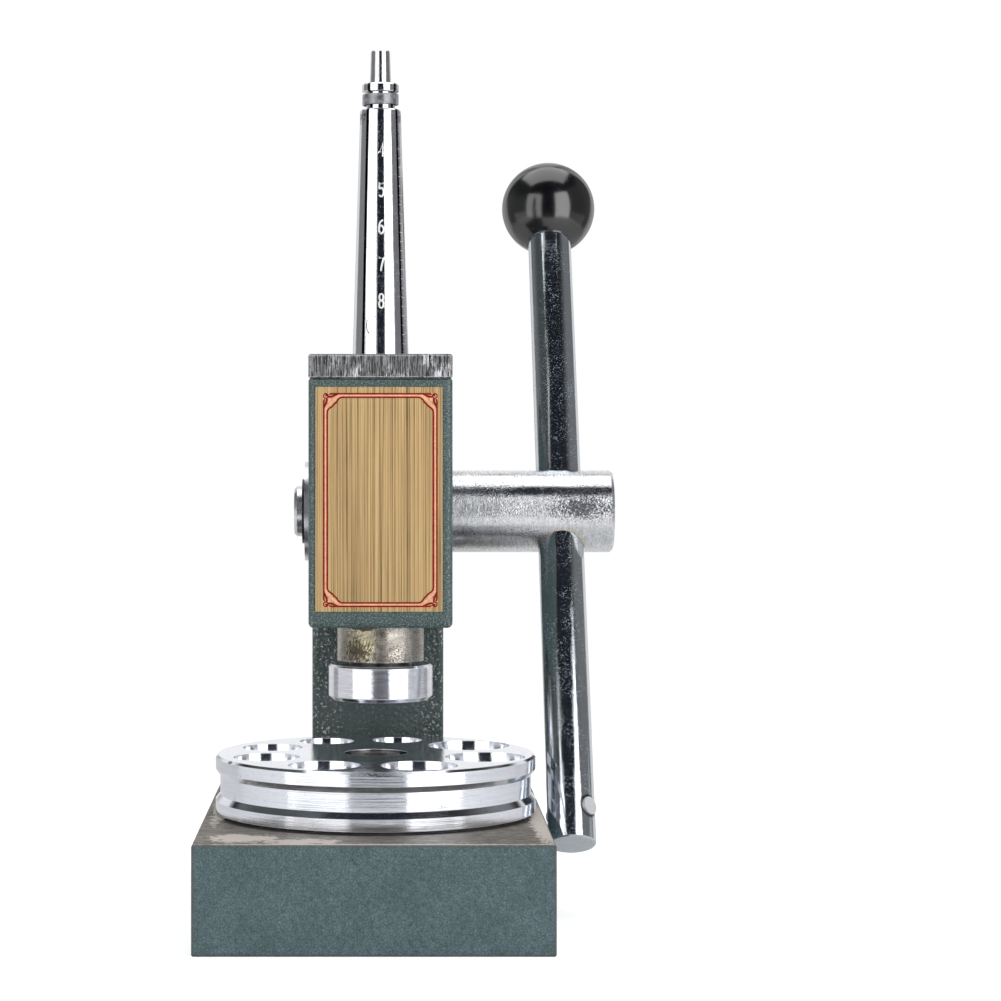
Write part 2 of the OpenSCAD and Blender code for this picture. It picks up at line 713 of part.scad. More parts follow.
// One tooth of the pinion, pointing along +X, down to below the root circle
module pinion_tooth() {
    flank = [
        for (k = [0 : flank_steps])
            let (r = base_circle_r + (tooth_tip_r - base_circle_r) * k / flank_steps)
            r * [cos(half_tooth - involute_angle(r)), sin(half_tooth - involute_angle(r))]
    ];
    foot = (tooth_root_r - cut) * [cos(half_tooth), sin(half_tooth)];
    upper = concat([foot], flank);
    steps = flank_steps + 1;
    polygon(concat([for (k = [0 : steps]) [upper[k].x, -upper[k].y]], [for (k = [steps : -1 : 0]) upper[k]]));
}

// The teeth are cut in the shaft itself. At rest a gap faces the ram, where a rack tooth lies.
module pinion_shaft() {
    color([0.74, 0.75, 0.76]) difference() {
        on_shaft() {
            rod(shaft_r, pinion_half, shaft_end_x - shaft_bevel);
            rod(shaft_r, shaft_end_x - shaft_bevel, shaft_end_x, shaft_r - shaft_bevel);
            rod(tooth_root_r, -pinion_half, pinion_half);
            translate([0, 0, -pinion_half]) for (i = [0 : pinion_teeth - 1])
                rotate([0, 0, -90 + (i + 0.5) * 360 / pinion_teeth])
                    linear_extrude(pinion_face) pinion_tooth();
            rod(journal_d / 2, journal_end_x, -pinion_half);
        }
        on_lever() rod(bar_hole_r, -shaft_r - cut, shaft_r + cut);
        on_shaft() {
            rod(clamp_d / 2 + running_gap, lever_x, shaft_end_x + cut);
            rod(shaft_thread_d / 2 + running_gap, journal_end_x - cut, journal_end_x + shaft_thread_l);
        }
    }
}

module shaft_bush() {
    color([0.8, 0.81, 0.82]) on_shaft() difference() {
        union() {
            rod(bush_flange_d / 2, bush_face_x, -head_half);
            rod(shaft_r, -head_half, -pinion_half - end_play);
        }
        rod(journal_bore_r, bush_face_x - cut, -pinion_half);
    }
}

module shaft_washer() {
    color([0.08, 0.08, 0.08]) on_shaft() difference() {
        rod(shaft_washer_d / 2, journal_end_x - shaft_washer_t, journal_end_x);
        rod(shaft_thread_d / 2 + running_gap, journal_end_x - shaft_washer_t - cut, journal_end_x + cut);
    }
}

module shaft_screw() {
    seat_x = journal_end_x - shaft_washer_t;
    head_x = seat_x - shaft_head_h;
    color([0.78, 0.78, 0.79]) on_shaft() difference() {
        union() {
            rod(shaft_head_d / 2 - 1, head_x, head_x + 1, shaft_head_d / 2);
            rod(shaft_head_d / 2, head_x + 1, seat_x);
            rod(shaft_thread_d / 2, seat_x, journal_end_x + shaft_thread_l - cut);
        }
        hex_socket(shaft_hex, head_x - cut, head_x + shaft_head_h * 0.7);
    }
}

module lever_bar() {
    end_bevel = 0.4;
    color([0.66, 0.68, 0.7]) on_lever() difference() {
        union() {
            rod(bar_d / 2 - end_bevel, -bar_low, end_bevel - bar_low, bar_d / 2);
            rod(bar_d / 2, end_bevel - bar_low, knob_seat);
            rod(spigot_d / 2, knob_seat, knob_seat + spigot_l);
        }
        translate([0, 0, stop_end - bar_low]) rotate([90, 0, stop_angle])
            rod(stop_d / 2 + running_gap, -bar_d, bar_d);
    }
}

module lever_knob() {
    color([0.03, 0.03, 0.03]) on_lever() difference() {
        translate([0, 0, knob_h]) sphere(r = knob_r, $fn = round_fn);
        rod(knob_r, knob_seat - knob_r, knob_seat);
        rod(insert_d / 2 + running_gap, knob_seat - cut, knob_seat + insert_l + running_gap);
    }
}

module knob_insert() {
    color([0.8, 0.66, 0.35]) on_lever() difference() {
        rod(insert_d / 2, knob_seat, knob_seat + insert_l);
        rod(spigot_d / 2 + running_gap, knob_seat - cut, knob_seat + spigot_l + running_gap);
    }
}

module lever_stop_pin() {
    half_l = bar_d / 2 + stop_out;
    color([0.8, 0.8, 0.81]) on_lever()
        translate([0, 0, stop_end - bar_low]) rotate([90, 0, stop_angle])
            rod(stop_d / 2, -half_l, half_l);
}

module lever_set_screw() {
    color([0.2, 0.2, 0.21]) on_shaft() difference() {
        rod(clamp_d / 2, clamp_in_x, clamp_out_x);
        hex_socket(clamp_hex, (clamp_in_x + clamp_out_x) / 2, clamp_out_x + cut);
    }
}

base_block();
frame_casting();
column_screws();
top_plate();
top_plate_screws();
name_plate();
reducing_plate();
plate_bolt();
plate_washer();
ram();
press_foot();
press_foot_screw();
expander_pin();
leaf_front();
leaf_right();
leaf_back();
leaf_left();
leaf_spring_ring();
pinion_shaft();
shaft_bush();
shaft_washer();
shaft_screw();
lever_bar();
lever_knob();
knob_insert();
lever_stop_pin();
lever_set_screw();
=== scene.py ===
import json
import math

import bmesh
import bpy
from mathutils import Matrix, Vector

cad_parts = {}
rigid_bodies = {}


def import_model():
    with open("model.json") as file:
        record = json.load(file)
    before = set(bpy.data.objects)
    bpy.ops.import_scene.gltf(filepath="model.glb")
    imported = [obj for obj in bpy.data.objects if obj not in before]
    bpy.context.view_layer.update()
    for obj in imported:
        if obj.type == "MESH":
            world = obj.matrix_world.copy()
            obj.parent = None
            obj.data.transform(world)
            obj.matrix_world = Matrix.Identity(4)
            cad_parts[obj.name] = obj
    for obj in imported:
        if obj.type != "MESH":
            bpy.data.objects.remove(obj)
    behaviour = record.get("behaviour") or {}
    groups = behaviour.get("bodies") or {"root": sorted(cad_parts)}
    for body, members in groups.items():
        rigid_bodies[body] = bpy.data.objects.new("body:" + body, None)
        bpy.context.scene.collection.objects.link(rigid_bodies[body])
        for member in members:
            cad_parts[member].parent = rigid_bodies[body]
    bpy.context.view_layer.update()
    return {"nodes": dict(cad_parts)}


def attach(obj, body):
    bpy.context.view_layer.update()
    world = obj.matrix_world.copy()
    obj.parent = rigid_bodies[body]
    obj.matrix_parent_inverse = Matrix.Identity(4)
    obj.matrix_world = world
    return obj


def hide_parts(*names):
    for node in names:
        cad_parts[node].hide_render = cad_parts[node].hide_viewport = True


for thing in list(bpy.data.objects):  # Blender's own cube, lamp and camera
    bpy.data.objects.remove(thing)

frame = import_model()
nodes = frame["nodes"]
print("frame loaded with", len(nodes), "nodes")

mm = 0.001


def feed(tree, value, socket):
    # a socket is linked, anything else becomes the socket's own value
    if isinstance(value, bpy.types.NodeSocket):
        tree.links.new(value, socket)
    else:
        socket.default_value = value


def addNode(tree, kind, **values):
    made = tree.nodes.new("ShaderNode" + kind)
    for key, value in values.items():
        if hasattr(made, key):
            setattr(made, key, value)
        else:
            feed(tree, value, made.inputs[key.replace("_", " ")])
    return made


def figure(tree, operation, *terms, clamp=False):
    made = tree.nodes.new("ShaderNodeMath")
    made.operation = operation
    made.use_clamp = clamp
    for term, socket in zip(terms, made.inputs):
        feed(tree, term, socket)
    return made.outputs[0]


def times(tree, first, second):
    return figure(tree, "MULTIPLY", first, second)


def plus(tree, first, second, clamp=False):
    return figure(tree, "ADD", first, second, clamp=clamp)


def vectorStep(tree, operation, first, second=None):
    # one step with vectors; a length or a dot product gives a number, the others a vector
    made = addNode(tree, "VectorMath", operation=operation)
    feed(tree, first, made.inputs[0])
    if second is not None:
        feed(tree, second, made.inputs["Scale" if operation == "SCALE" else 1])
    return made.outputs["Value" if operation in ("LENGTH", "DOT_PRODUCT") else "Vector"]


def mixColours(tree, amount, first, second):
    made = tree.nodes.new("ShaderNodeMix")
    made.data_type = "RGBA"
    feed(tree, amount, made.inputs[0])
    feed(tree, first, made.inputs[6])
    feed(tree, second, made.inputs[7])
    return made.outputs[2]


def coordinates(tree, place):
    return addNode(tree, "SeparateXYZ", Vector=place).outputs


def noise(tree, place, scale, detail, rough=0.5):
    return addNode(tree, "TexNoise", Vector=place, Scale=scale, Detail=detail, Roughness=rough).outputs[0]


def tint(tree, base, mask, amount, colour):
    # a colour laid over the base where the mask is, as strongly as the amount says
    return mixColours(tree, times(tree, mask, amount), base, colour)


def mapValue(tree, value, fromLow, fromHigh, toLow=0.0, toHigh=1.0, smooth=True):
    made = tree.nodes.new("ShaderNodeMapRange")
    made.interpolation_type = "SMOOTHSTEP" if smooth else "LINEAR"
    for term, socket in zip((value, fromLow, fromHigh, toLow, toHigh), made.inputs):
        feed(tree, term, socket)
    return made.outputs[0]


def newGroup(name, numbers, results):
    # a group that takes a place and some numbers, and puts out masks or heights
    tree = bpy.data.node_groups.new(name, "ShaderNodeTree")
    tree.interface.new_socket(name="Vector", in_out="INPUT", socket_type="NodeSocketVector")
    for label, value in numbers.items():
        socket = tree.interface.new_socket(name=label, in_out="INPUT", socket_type="NodeSocketFloat")
        socket.default_value = value
    for label in results:
        tree.interface.new_socket(name=label, in_out="OUTPUT", socket_type="NodeSocketFloat")
    entry = tree.nodes.new("NodeGroupInput")
    result = tree.nodes.new("NodeGroupOutput")
    return tree, entry.outputs, result.inputs


def useGroup(tree, group, **values):
    made = tree.nodes.new("ShaderNodeGroup")
    made.node_tree = group
    for key, value in values.items():
        feed(tree, value, made.inputs[key])
    return made.outputs


def newMaterial(name, **shine):
    material = bpy.data.materials.new(name)
    material.use_nodes = True
    tree = material.node_tree
    shader = tree.nodes["Principled BSDF"]
    for key, value in shine.items():
        shader.inputs[key.replace("_", " ")].default_value = value
    return material, tree, shader


def setBump(tree, shader, height, step, strength=1.0):
    bump = addNode(tree, "Bump", Strength=strength, Distance=step, Height=height)
    feed(tree, bump.outputs[0], shader.inputs["Normal"])


def inMillimetres(tree, centre=(0, 0, 0), turn=(0, 0, 0)):
    # object coordinates in mm, seen from a centre, and turned so that the piece's axis is Z
    place = vectorStep(tree, "SCALE", addNode(tree, "TexCoord").outputs["Object"], 1000.0)
    place = vectorStep(tree, "SUBTRACT", place, centre)
    turned = addNode(tree, "VectorRotate", rotation_type="EULER_XYZ", Vector=place,
                     Rotation=[math.radians(a) for a in turn])
    return turned.outputs[0]


def makeLatheMarks():
    # fine rings round a turned piece: they follow the radius on its ends and the height on its side
    tree, given, result = newGroup("latheMarks", {"Fineness": 4.0, "Wander": 1.5}, ("Lines", "Broad"))
    parts = coordinates(tree, given["Vector"])
    squares = plus(tree, times(tree, parts[0], parts[0]), times(tree, parts[1], parts[1]))
    around = figure(tree, "SQRT", squares)
    reach = figure(tree, "MAXIMUM", around, 0.01)
    across = times(tree, plus(tree, around, parts[2]), given["Fineness"])
    spot = addNode(
        tree, "CombineXYZ",
        X=times(tree, figure(tree, "DIVIDE", parts[0], reach), given["Wander"]),
        Y=times(tree, figure(tree, "DIVIDE", parts[1], reach), given["Wander"]),
        Z=across,
    ).outputs[0]
    fine = noise(tree, spot, 1.0, 3.0, 0.7)
    broad = noise(tree, spot, 0.22, 1.0)
    feed(tree, mapValue(tree, fine, 0.3, 0.7), result["Lines"])
    feed(tree, mapValue(tree, broad, 0.35, 0.65), result["Broad"])
    return tree


def makeGrindMarks():
    # straight marks: fine across, long along. The vector comes scaled for that
    tree, given, result = newGroup("grindMarks", {}, ("Lines", "Broad"))
    fine = noise(tree, given["Vector"], 1.0, 4.0, 0.75)
    broad = noise(tree, given["Vector"], 0.2, 2.0)
    feed(tree, mapValue(tree, fine, 0.3, 0.7), result["Lines"])
    feed(tree, mapValue(tree, broad, 0.38, 0.62), result["Broad"])
    return tree


def makeStains():
    # soft patches of dirt, oil or tarnish with a ragged border
    tree, given, result = newGroup("stains", {"Size": 8.0, "Cover": 0.4, "Ragged": 0.6}, ("Mask",))
    scale = figure(tree, "DIVIDE", 1.0, given["Size"])
    patch = noise(tree, given["Vector"], scale, 6.0, given["Ragged"])
    edge = figure(tree, "SUBTRACT", 0.85, times(tree, given["Cover"], 0.7))
    low = figure(tree, "SUBTRACT", edge, 0.09)
    high = plus(tree, edge, 0.05)
    feed(tree, mapValue(tree, patch, low, high), result["Mask"])
    return tree


def makePits():
    # small round marks in some of the cells of a grid
    tree, given, result = newGroup("pits", {"Spacing": 2.0, "Size": 0.3, "Share": 0.3}, ("Mask",))
    scale = figure(tree, "DIVIDE", 1.0, given["Spacing"])
    cells = addNode(tree, "TexVoronoi", Vector=given["Vector"], Scale=scale)
    full = times(tree, given["Size"], 0.6)
    near = mapValue(tree, cells.outputs["Distance"], full, given["Size"], 1.0, 0.0)
    lot = addNode(tree, "SeparateColor", Color=cells.outputs["Color"]).outputs[0]
    chosen = figure(tree, "LESS_THAN", lot, given["Share"])
    feed(tree, times(tree, near, chosen), result["Mask"])
    return tree


def makeWornEdges():
    # where the surface turns a corner within the radius, broken up by noise
    tree, given, result = newGroup("wornEdges", {"Radius": 0.0008, "Breakup": 0.5, "Grain": 2.0}, ("Mask", "Edge"))
    softened = addNode(tree, "Bevel", samples=6, Radius=given["Radius"]).outputs[0]
    agree = vectorStep(tree, "DOT_PRODUCT", softened, addNode(tree, "NewGeometry").outputs["Normal"])
    edge = mapValue(tree, agree, 0.995, 0.86)
    scale = figure(tree, "DIVIDE", 1.0, given["Grain"])
    grain = noise(tree, given["Vector"], scale, 5.0)
    start = times(tree, given["Breakup"], 0.8)
    kept = mapValue(tree, grain, start, plus(tree, start, 0.12))
    feed(tree, times(tree, edge, kept), result["Mask"])
    feed(tree, edge, result["Edge"])
    return tree


def makeHammerSkin():
    # hammer-finish paint: shallow round cells with dark seams between them
    tree, given, result = newGroup("hammerSkin", {"Cell": 0.7}, ("Height", "Shade", "Seams"))
    scale = figure(tree, "DIVIDE", 1.0, given["Cell"])
    wobble = addNode(tree, "TexNoise", Vector=given["Vector"], Scale=scale, Detail=2.0)
    shift = vectorStep(tree, "SCALE", wobble.outputs["Color"], times(tree, given["Cell"], 0.8))
    bent = vectorStep(tree, "ADD", given["Vector"], shift)
    cells = addNode(tree, "TexVoronoi", feature="SMOOTH_F1", Vector=bent, Scale=scale, Smoothness=0.6)
    broad = noise(tree, given["Vector"], figure(tree, "DIVIDE", scale, 9.0), 3.0)
    rims = addNode(tree, "TexVoronoi", feature="DISTANCE_TO_EDGE", Vector=bent, Scale=scale)
    feed(tree, cells.outputs["Distance"], result["Height"])
    shade = plus(tree, times(tree, cells.outputs["Distance"], 0.6), times(tree, broad, 0.5))
    feed(tree, shade, result["Shade"])
    feed(tree, mapValue(tree, rims.outputs["Distance"], 0.02, 0.2, 1.0, 0.0), result["Seams"])
    return tree


def makeSpeckle():
    # fine grain that comes and goes in patches
    tree, given, result = newGroup("speckle", {"Size": 0.3, "Patch": 12.0}, ("Height", "Specks"))
    scale = figure(tree, "DIVIDE", 1.0, given["Size"])
    fine = noise(tree, given["Vector"], scale, 3.0, 0.65)
    scale = figure(tree, "DIVIDE", 1.0, given["Patch"])
    patch = noise(tree, given["Vector"], scale, 3.0)
    much = mapValue(tree, patch, 0.35, 0.68, 0.25, 1.0)
    feed(tree, times(tree, fine, much), result["Height"])
    feed(tree, times(tree, mapValue(tree, fine, 0.5, 0.66), much), result["Specks"])
    return tree


latheMarks = makeLatheMarks()
speckle = makeSpeckle()
grindMarks = makeGrindMarks()
stains = makeStains()
pits = makePits()
wornEdges = makeWornEdges()
hammerSkin = makeHammerSkin()
print("shared effects made")


def turnedFinish(name, look):
    # a piece that came off a lathe: rings, patches of tarnish, small pits, fine grain and edges rubbed bright
    material, tree, shader = newMaterial(name, Metallic=1.0, Anisotropic=look["brushed"])
    if look["brushed"]:
        rings = addNode(tree, "Tangent", direction_type="RADIAL", axis=look["axis"])
        feed(tree, rings.outputs[0], shader.inputs["Tangent"])
        shader.inputs["Anisotropic Rotation"].default_value = 0.25  # a quarter of a turn
    place = inMillimetres(tree, look["centre"], look["turn"])
    marks = useGroup(tree, latheMarks, Vector=place, Fineness=look["fineness"], Wander=look["wander"])
    tarnish = useGroup(tree, stains, Vector=place, Size=look["stainSize"], Cover=look["stainCover"])["Mask"]
    marred = useGroup(tree, pits, Vector=place, Spacing=look["pitSpacing"], Size=look["pitSize"],
                      Share=look["pitShare"])["Mask"]
    rubbed = useGroup(tree, wornEdges, Vector=place, Radius=look["edge"], Breakup=look["edgeBreakup"])["Mask"]
    grain = useGroup(tree, speckle, Vector=place, Size=look["grainSize"], Patch=look["grainPatch"])
    base = tint(tree, look["colour"], marks["Lines"], look["lineTint"], look["lineColour"])
    base = tint(tree, base, tarnish, look["stainAmount"], look["stainColour"])
    base = tint(tree, base, marred, look["pitAmount"], look["pitColour"])
    base = tint(tree, base, rubbed, look["edgeTint"], look["edgeColour"])
    base = tint(tree, base, grain["Specks"], look["grainTint"], look["lineColour"])
    height = times(tree, marks["Lines"], look["ringDepth"])
    height = figure(tree, "SUBTRACT", height, times(tree, marred, look["pitDepth"]))
    height = plus(tree, height, times(tree, grain["Height"], look["grain"]))
    if look["drawn"]:
        # marks along the piece, or close ones round it, as the stretch says
        pulled = vectorStep(tree, "MULTIPLY", place, look["drawnStretch"])
        drawn = useGroup(tree, grindMarks, Vector=pulled)["Lines"]
        base = tint(tree, base, drawn, look["drawn"], look["lineColour"])
        height = plus(tree, height, times(tree, drawn, look["drawnDepth"]))
    if look["slotTurn"] is not None:
        # darker along the slots between the leaves
        squared = addNode(tree, "VectorRotate", rotation_type="Z_AXIS", Vector=place,
                          Angle=math.radians(-look["slotTurn"]))
        sides = coordinates(tree, squared.outputs[0])
        apart = figure(tree, "SUBTRACT", figure(tree, "ABSOLUTE", sides[0]), figure(tree, "ABSOLUTE", sides[1]))
        apart = figure(tree, "ABSOLUTE", apart)
        slotDarkened = mapValue(tree, apart, look["slotDarkWidth"], look["slotDarkWidth"] + look["slotSoft"], 0.95, 0.0)
        base = mixColours(tree, slotDarkened, base, look["slotColour"])
    for patch in look["patches"]:
        base = mixColours(tree, patchMask(tree, place, patch), base, patch["colour"])
    metal = figure(tree, "SUBTRACT", 1.0, times(tree, rubbed, look["edgeMatte"]))
    if look["dust"]:
        specks = noise(tree, place, 1 / look["dustSize"], 2.0, 0.6)
        cloud = noise(tree, place, look["dustCloudScale"], 3.0)
        dust = times(tree, mapValue(tree, specks, look["dustFrom"], look["dustFrom"] + 0.1),
                     mapValue(tree, cloud, 0.38, 0.62, look["dustThinnest"], 1.0))
        dust = times(tree, dust, look["dust"])
        base = mixColours(tree, dust, base, look["dustColour"])
        metal = figure(tree, "SUBTRACT", metal, dust, clamp=True)
    feed(tree, metal, shader.inputs["Metallic"])
    feed(tree, base, shader.inputs["Base Color"])
    rough = plus(tree, look["rough"], times(tree, marks["Broad"], look["roughLines"]))
    rough = plus(tree, rough, times(tree, tarnish, look["roughStain"]), clamp=True)
    feed(tree, rough, shader.inputs["Roughness"])
    setBump(tree, shader, height, look["bumpStep"])
    return material


def patchMask(tree, place, patch):
    # a ragged patch round one spot of a piece, in the same mm; "wild" is how far its border strays, and "sparse"
    # thins it out
    away = vectorStep(tree, "SUBTRACT", place, patch["at"])
    away = vectorStep(tree, "LENGTH", vectorStep(tree, "DIVIDE", away, patch["size"]))
    if "lean" in patch:  # scratched in one slanting direction
        turned = addNode(tree, "VectorRotate", rotation_type="Y_AXIS", Vector=place,
                         Angle=math.radians(patch["lean"]))
        place = vectorStep(tree, "MULTIPLY", turned.outputs[0], (1.0, 1.0, 0.22))
    ragged = noise(tree, place, patch.get("grain", 0.9), 5.0, 0.7)
    wild = patch.get("wild", 1.6)
    total = plus(tree, away, times(tree, ragged, wild))
    total = plus(tree, total, patch.get("sparse", 0.0))
    middle = wild * 0.5
    return mapValue(tree, total, middle + 0.75, middle + 1.0, patch.get("amount", 0.9), 0.0)


def steelLook(**changes):
    look = {
        "centre": (0, 0, 0), "turn": (0, 0, 0), "brushed": 0.0, "axis": "Z",
        "colour": (0.72, 0.73, 0.76, 1), "rough": 0.1, "roughLines": 0.04, "roughStain": 0.1, "bumpStep": 0.00002,
        "fineness": 5.0, "wander": 1.5, "lineTint": 0.2, "lineColour": (0.45, 0.46, 0.5, 1), "ringDepth": 0.1,
        "stainSize": 9.0, "stainCover": 0.25, "stainAmount": 0.2, "stainColour": (0.25, 0.23, 0.22, 1),
        "pitSpacing": 1.6, "pitSize": 0.22, "pitShare": 0.05, "pitAmount": 0.5, "pitDepth": 0.5,
        "pitColour": (0.12, 0.12, 0.13, 1),
        "edge": 0.0005, "edgeBreakup": 0.5, "edgeTint": 0.6, "edgeMatte": 0.3, "edgeColour": (0.85, 0.86, 0.88, 1),
        "grain": 0.1, "grainTint": 0.2, "grainSize": 0.3, "grainPatch": 12.0,
        "dust": 0.0, "dustSize": 0.55, "dustFrom": 0.56, "dustColour": (0.5, 0.52, 0.55, 1),
        "dustCloudScale": 0.12, "dustThinnest": 0.12,
        "drawn": 0.0, "drawnDepth": 0.0, "drawnStretch": (2.6, 2.6, 0.02),
        "slotTurn": None, "slotDarkWidth": 0.75, "slotSoft": 0.25, "slotColour": (0.02, 0.02, 0.022, 1),
        "patches": [],
    }
    look.update(changes)
    return look


def assign(material, *names):
    for name in names:
        for holder in nodes[name].material_slots:
            holder.material = material


# the split mandrel and the pin that spreads it
mandrelLook = steelLook(colour=(0.76, 0.77, 0.8, 1), fineness=7.0, rough=0.05, roughLines=0.02, slotTurn=6.4,
                        lineTint=0.12, ringDepth=0.1, grain=0.8, grainSize=0.2, grainTint=0.35, stainAmount=0.1,
                        roughStain=0.02, dust=0.3, dustSize=0.6, drawn=0.3, drawnDepth=0.12)
leftLeafLook = dict(
    mandrelLook,
    patches=[{"at": (-8, 0, 268.5), "size": (6, 9, 3.4), "colour": (0.03, 0.03, 0.035, 1), "wild": 2.4,
              "grain": 1.2, "sparse": 0.3}],
)
rightLeafLook = dict(
    mandrelLook, rough=0.16, grain=2.5, grainSize=0.4, dust=0.7, dustColour=(0.17, 0.17, 0.18, 1), dustFrom=0.47,
    colour=(0.55, 0.56, 0.58, 1),
    patches=[{"at": (8, 0, 268.5), "size": (6, 9, 3.0), "colour": (0.04, 0.04, 0.045, 1), "wild": 2.4,
              "grain": 1.2, "sparse": 0.3}],
)
assign(turnedFinish("mandrelChrome", mandrelLook), "leaf_front", "leaf_back")
assign(turnedFinish("mandrelChromeLeft", leftLeafLook), "leaf_left")
assign(turnedFinish("mandrelChromeRight", rightLeafLook), "leaf_right")
pinLook = steelLook(colour=(0.64, 0.64, 0.66, 1), rough=0.12, ringDepth=0.3, grain=1.2, grainSize=0.2, dust=0.6)
assign(turnedFinish("taperPinSteel", pinLook), "expander_pin")

# the rack's pinion shaft, its bush and its end screw, all along X
shaftLook = steelLook(
    centre=(0, 24, 132), turn=(0, 90, 0), brushed=1.0, axis="X", rough=0.175, roughLines=0.03,
    colour=(0.95, 0.96, 0.98, 1), lineColour=(0.3, 0.31, 0.33, 1), lineTint=0.3, fineness=3.0, wander=4.0,
    ringDepth=0.6, grain=5.3, grainSize=0.6, grainPatch=10.0, grainTint=0.9,
    dust=0.42, dustSize=0.42, dustFrom=0.54, dustColour=(0.12, 0.125, 0.14, 1),
    drawn=0.32, drawnDepth=0.5, drawnStretch=(0.2, 0.2, 2.2),
    patches=[
        {"at": (1.8, -13.5, -71), "size": (5.6, 11, 15), "colour": (0.05, 0.055, 0.07, 1), "wild": 5.0,
         "grain": 1.9, "sparse": 0.3},
        {"at": (-10, -8, -63.6), "size": (7, 9, 10), "colour": (0.6, 0.5, 0.36, 1), "wild": 0.6, "amount": 0.5},
    ],
)
assign(turnedFinish("shaftSteel", shaftLook), "pinion_shaft")
bushLook = steelLook(centre=(0, 24, 132), turn=(0, 90, 0), rough=0.25, grain=0.5)
assign(turnedFinish("bushSteel", bushLook), "shaft_bush", "shaft_screw")

# the lever's bar, its stop pin and its knob's insert, along the leaning bar
leverLook = steelLook(
    centre=(63.6, 24, 132), turn=(30, 0, 0), colour=(0.6, 0.64, 0.67, 1), rough=0.04, lineTint=0.05, ringDepth=0.0,
    grain=1.6, grainSize=0.4, grainPatch=10.0, stainAmount=0.1, pitShare=0.0,
    dust=0.8, dustSize=0.45, dustFrom=0.575, dustColour=(0.3, 0.39, 0.52, 1), drawn=0.25, drawnDepth=0.12,
    # a black spot round the stop pin's end is painted shadow in the rim of its hole
    patches=[{"at": (5.75, -5.56, -114.1), "size": (4.4, 4.4, 4.4), "colour": (0.02, 0.02, 0.02, 1), "wild": 0.2}],
)
assign(turnedFinish("leverChrome", leverLook), "lever_bar")
stopPinLook = steelLook(rough=0.55, colour=(0.92, 0.92, 0.94, 1), grain=1.5)
assign(turnedFinish("stopPinSteel", stopPinLook), "lever_stop_pin")
assign(turnedFinish("insertBrass", steelLook(colour=(0.8, 0.6, 0.3, 1), rough=0.25)), "knob_insert")

# the turning plate of funnel holes and its bolt
plateLook = steelLook(
    centre=(-1.6, -37.77, 0), brushed=0.85, colour=(0.8, 0.825, 0.89, 1), rough=0.085, roughLines=0.03,
    fineness=2.0, ringDepth=0.4, lineTint=0.25, grain=0.5, grainSize=0.4, grainTint=0.2, stainCover=0.2, dust=0.1,
    edge=0.0006, edgeMatte=0.8, edgeBreakup=0.36,
    patches=[
        {"at": (2.5, -54.5, 52.6), "size": (9, 3, 0.8), "colour": (0.03, 0.03, 0.03, 1), "wild": 3.0,
         "grain": 1.6, "sparse": 0.2},
        {"at": (-47.8, -24.2, 53.2), "size": (2.0, 2.0, 0.7), "colour": (0.05, 0.05, 0.05, 1), "wild": 1.6,
         "grain": 2.0},
    ],
)
assign(turnedFinish("plateChrome", plateLook), "reducing_plate")
boltLook = steelLook(centre=(-1.6, -37.77, 0), colour=(0.32, 0.28, 0.26, 1), rough=0.3, grain=0.6, stainAmount=0.5)
assign(turnedFinish("boltSteel", boltLook), "plate_bolt", "plate_washer")

# the ram, greased and worn, and the zinc-plated foot under it
ramLook = steelLook(
    colour=(0.47, 0.44, 0.4, 1), rough=0.25, grain=4.5, grainSize=0.3, grainTint=1.0, grainPatch=4.0,
    stainCover=0.35, stainAmount=0.35, stainColour=(0.2, 0.17, 0.14, 1),
    ringDepth=0.2, lineColour=(0.16, 0.14, 0.12, 1), lineTint=0.25,
    dust=0.9, dustSize=0.5, dustFrom=0.48, dustColour=(0.05, 0.045, 0.04, 1),
    patches=[
        {"at": (-6.5, -13, 87.5), "size": (8.0, 9, 8.0), "colour": (0.32, 0.285, 0.15, 1), "amount": 0.85,
         "wild": 5.0, "grain": 2.6, "sparse": 0.3, "lean": -35},
        {"at": (-4.6, -13.5, 85.5), "size": (4.2, 8, 6.0), "colour": (0.74, 0.65, 0.4, 1), "wild": 5.5,
         "grain": 2.6, "sparse": 0.8, "lean": -40},
        {"at": (-7.4, -13, 84.8), "size": (5.5, 9, 5.0), "colour": (0.03, 0.022, 0.008, 1), "wild": 5.5,
         "grain": 1.8, "sparse": 0.15, "lean": -35},
        {"at": (2.5, -13.5, 85.5), "size": (4.0, 8, 2.4), "colour": (0.08, 0.07, 0.06, 1), "wild": 5.0,
         "grain": 2.6, "sparse": 0.9},
        {"at": (-6.0, -13.5, 93.6), "size": (6.0, 9, 1.6), "colour": (0.03, 0.022, 0.012, 1), "wild": 1.6},
        # painted shade: a near-black band round the ram's neck, in the gap above the foot
        {"at": (0, 0, 79.6), "size": (40, 40, 1.75), "colour": (0.012, 0.011, 0.01, 1), "wild": 0.3},
    ],
)
assign(turnedFinish("ramSteel", ramLook), "ram")
footLook = steelLook(
    colour=(0.82, 0.82, 0.885, 1), brushed=0.96, rough=0.15, fineness=2.2, ringDepth=0.7, lineTint=0.4,
    grain=0.6, grainSize=0.4, edge=0.0016, edgeMatte=0.9, edgeBreakup=0.3,
)
assign(turnedFinish("footZinc", footLook), "press_foot")

# screws
assign(turnedFinish("screwSteel", steelLook(colour=(0.4, 0.4, 0.42, 1), rough=0.3)), "top_plate_screws")
blackLook = steelLook(
    colour=(0.03, 0.03, 0.032, 1), lineColour=(0.02, 0.02, 0.02, 1), rough=0.35, edgeColour=(0.12, 0.12, 0.12, 1),
    stainColour=(0.05, 0.04, 0.035, 1), pitColour=(0.01, 0.01, 0.01, 1),
)
assign(turnedFinish("blackenedSteel", blackLook),
       "column_screws", "press_foot_screw", "lever_set_screw", "shaft_washer")


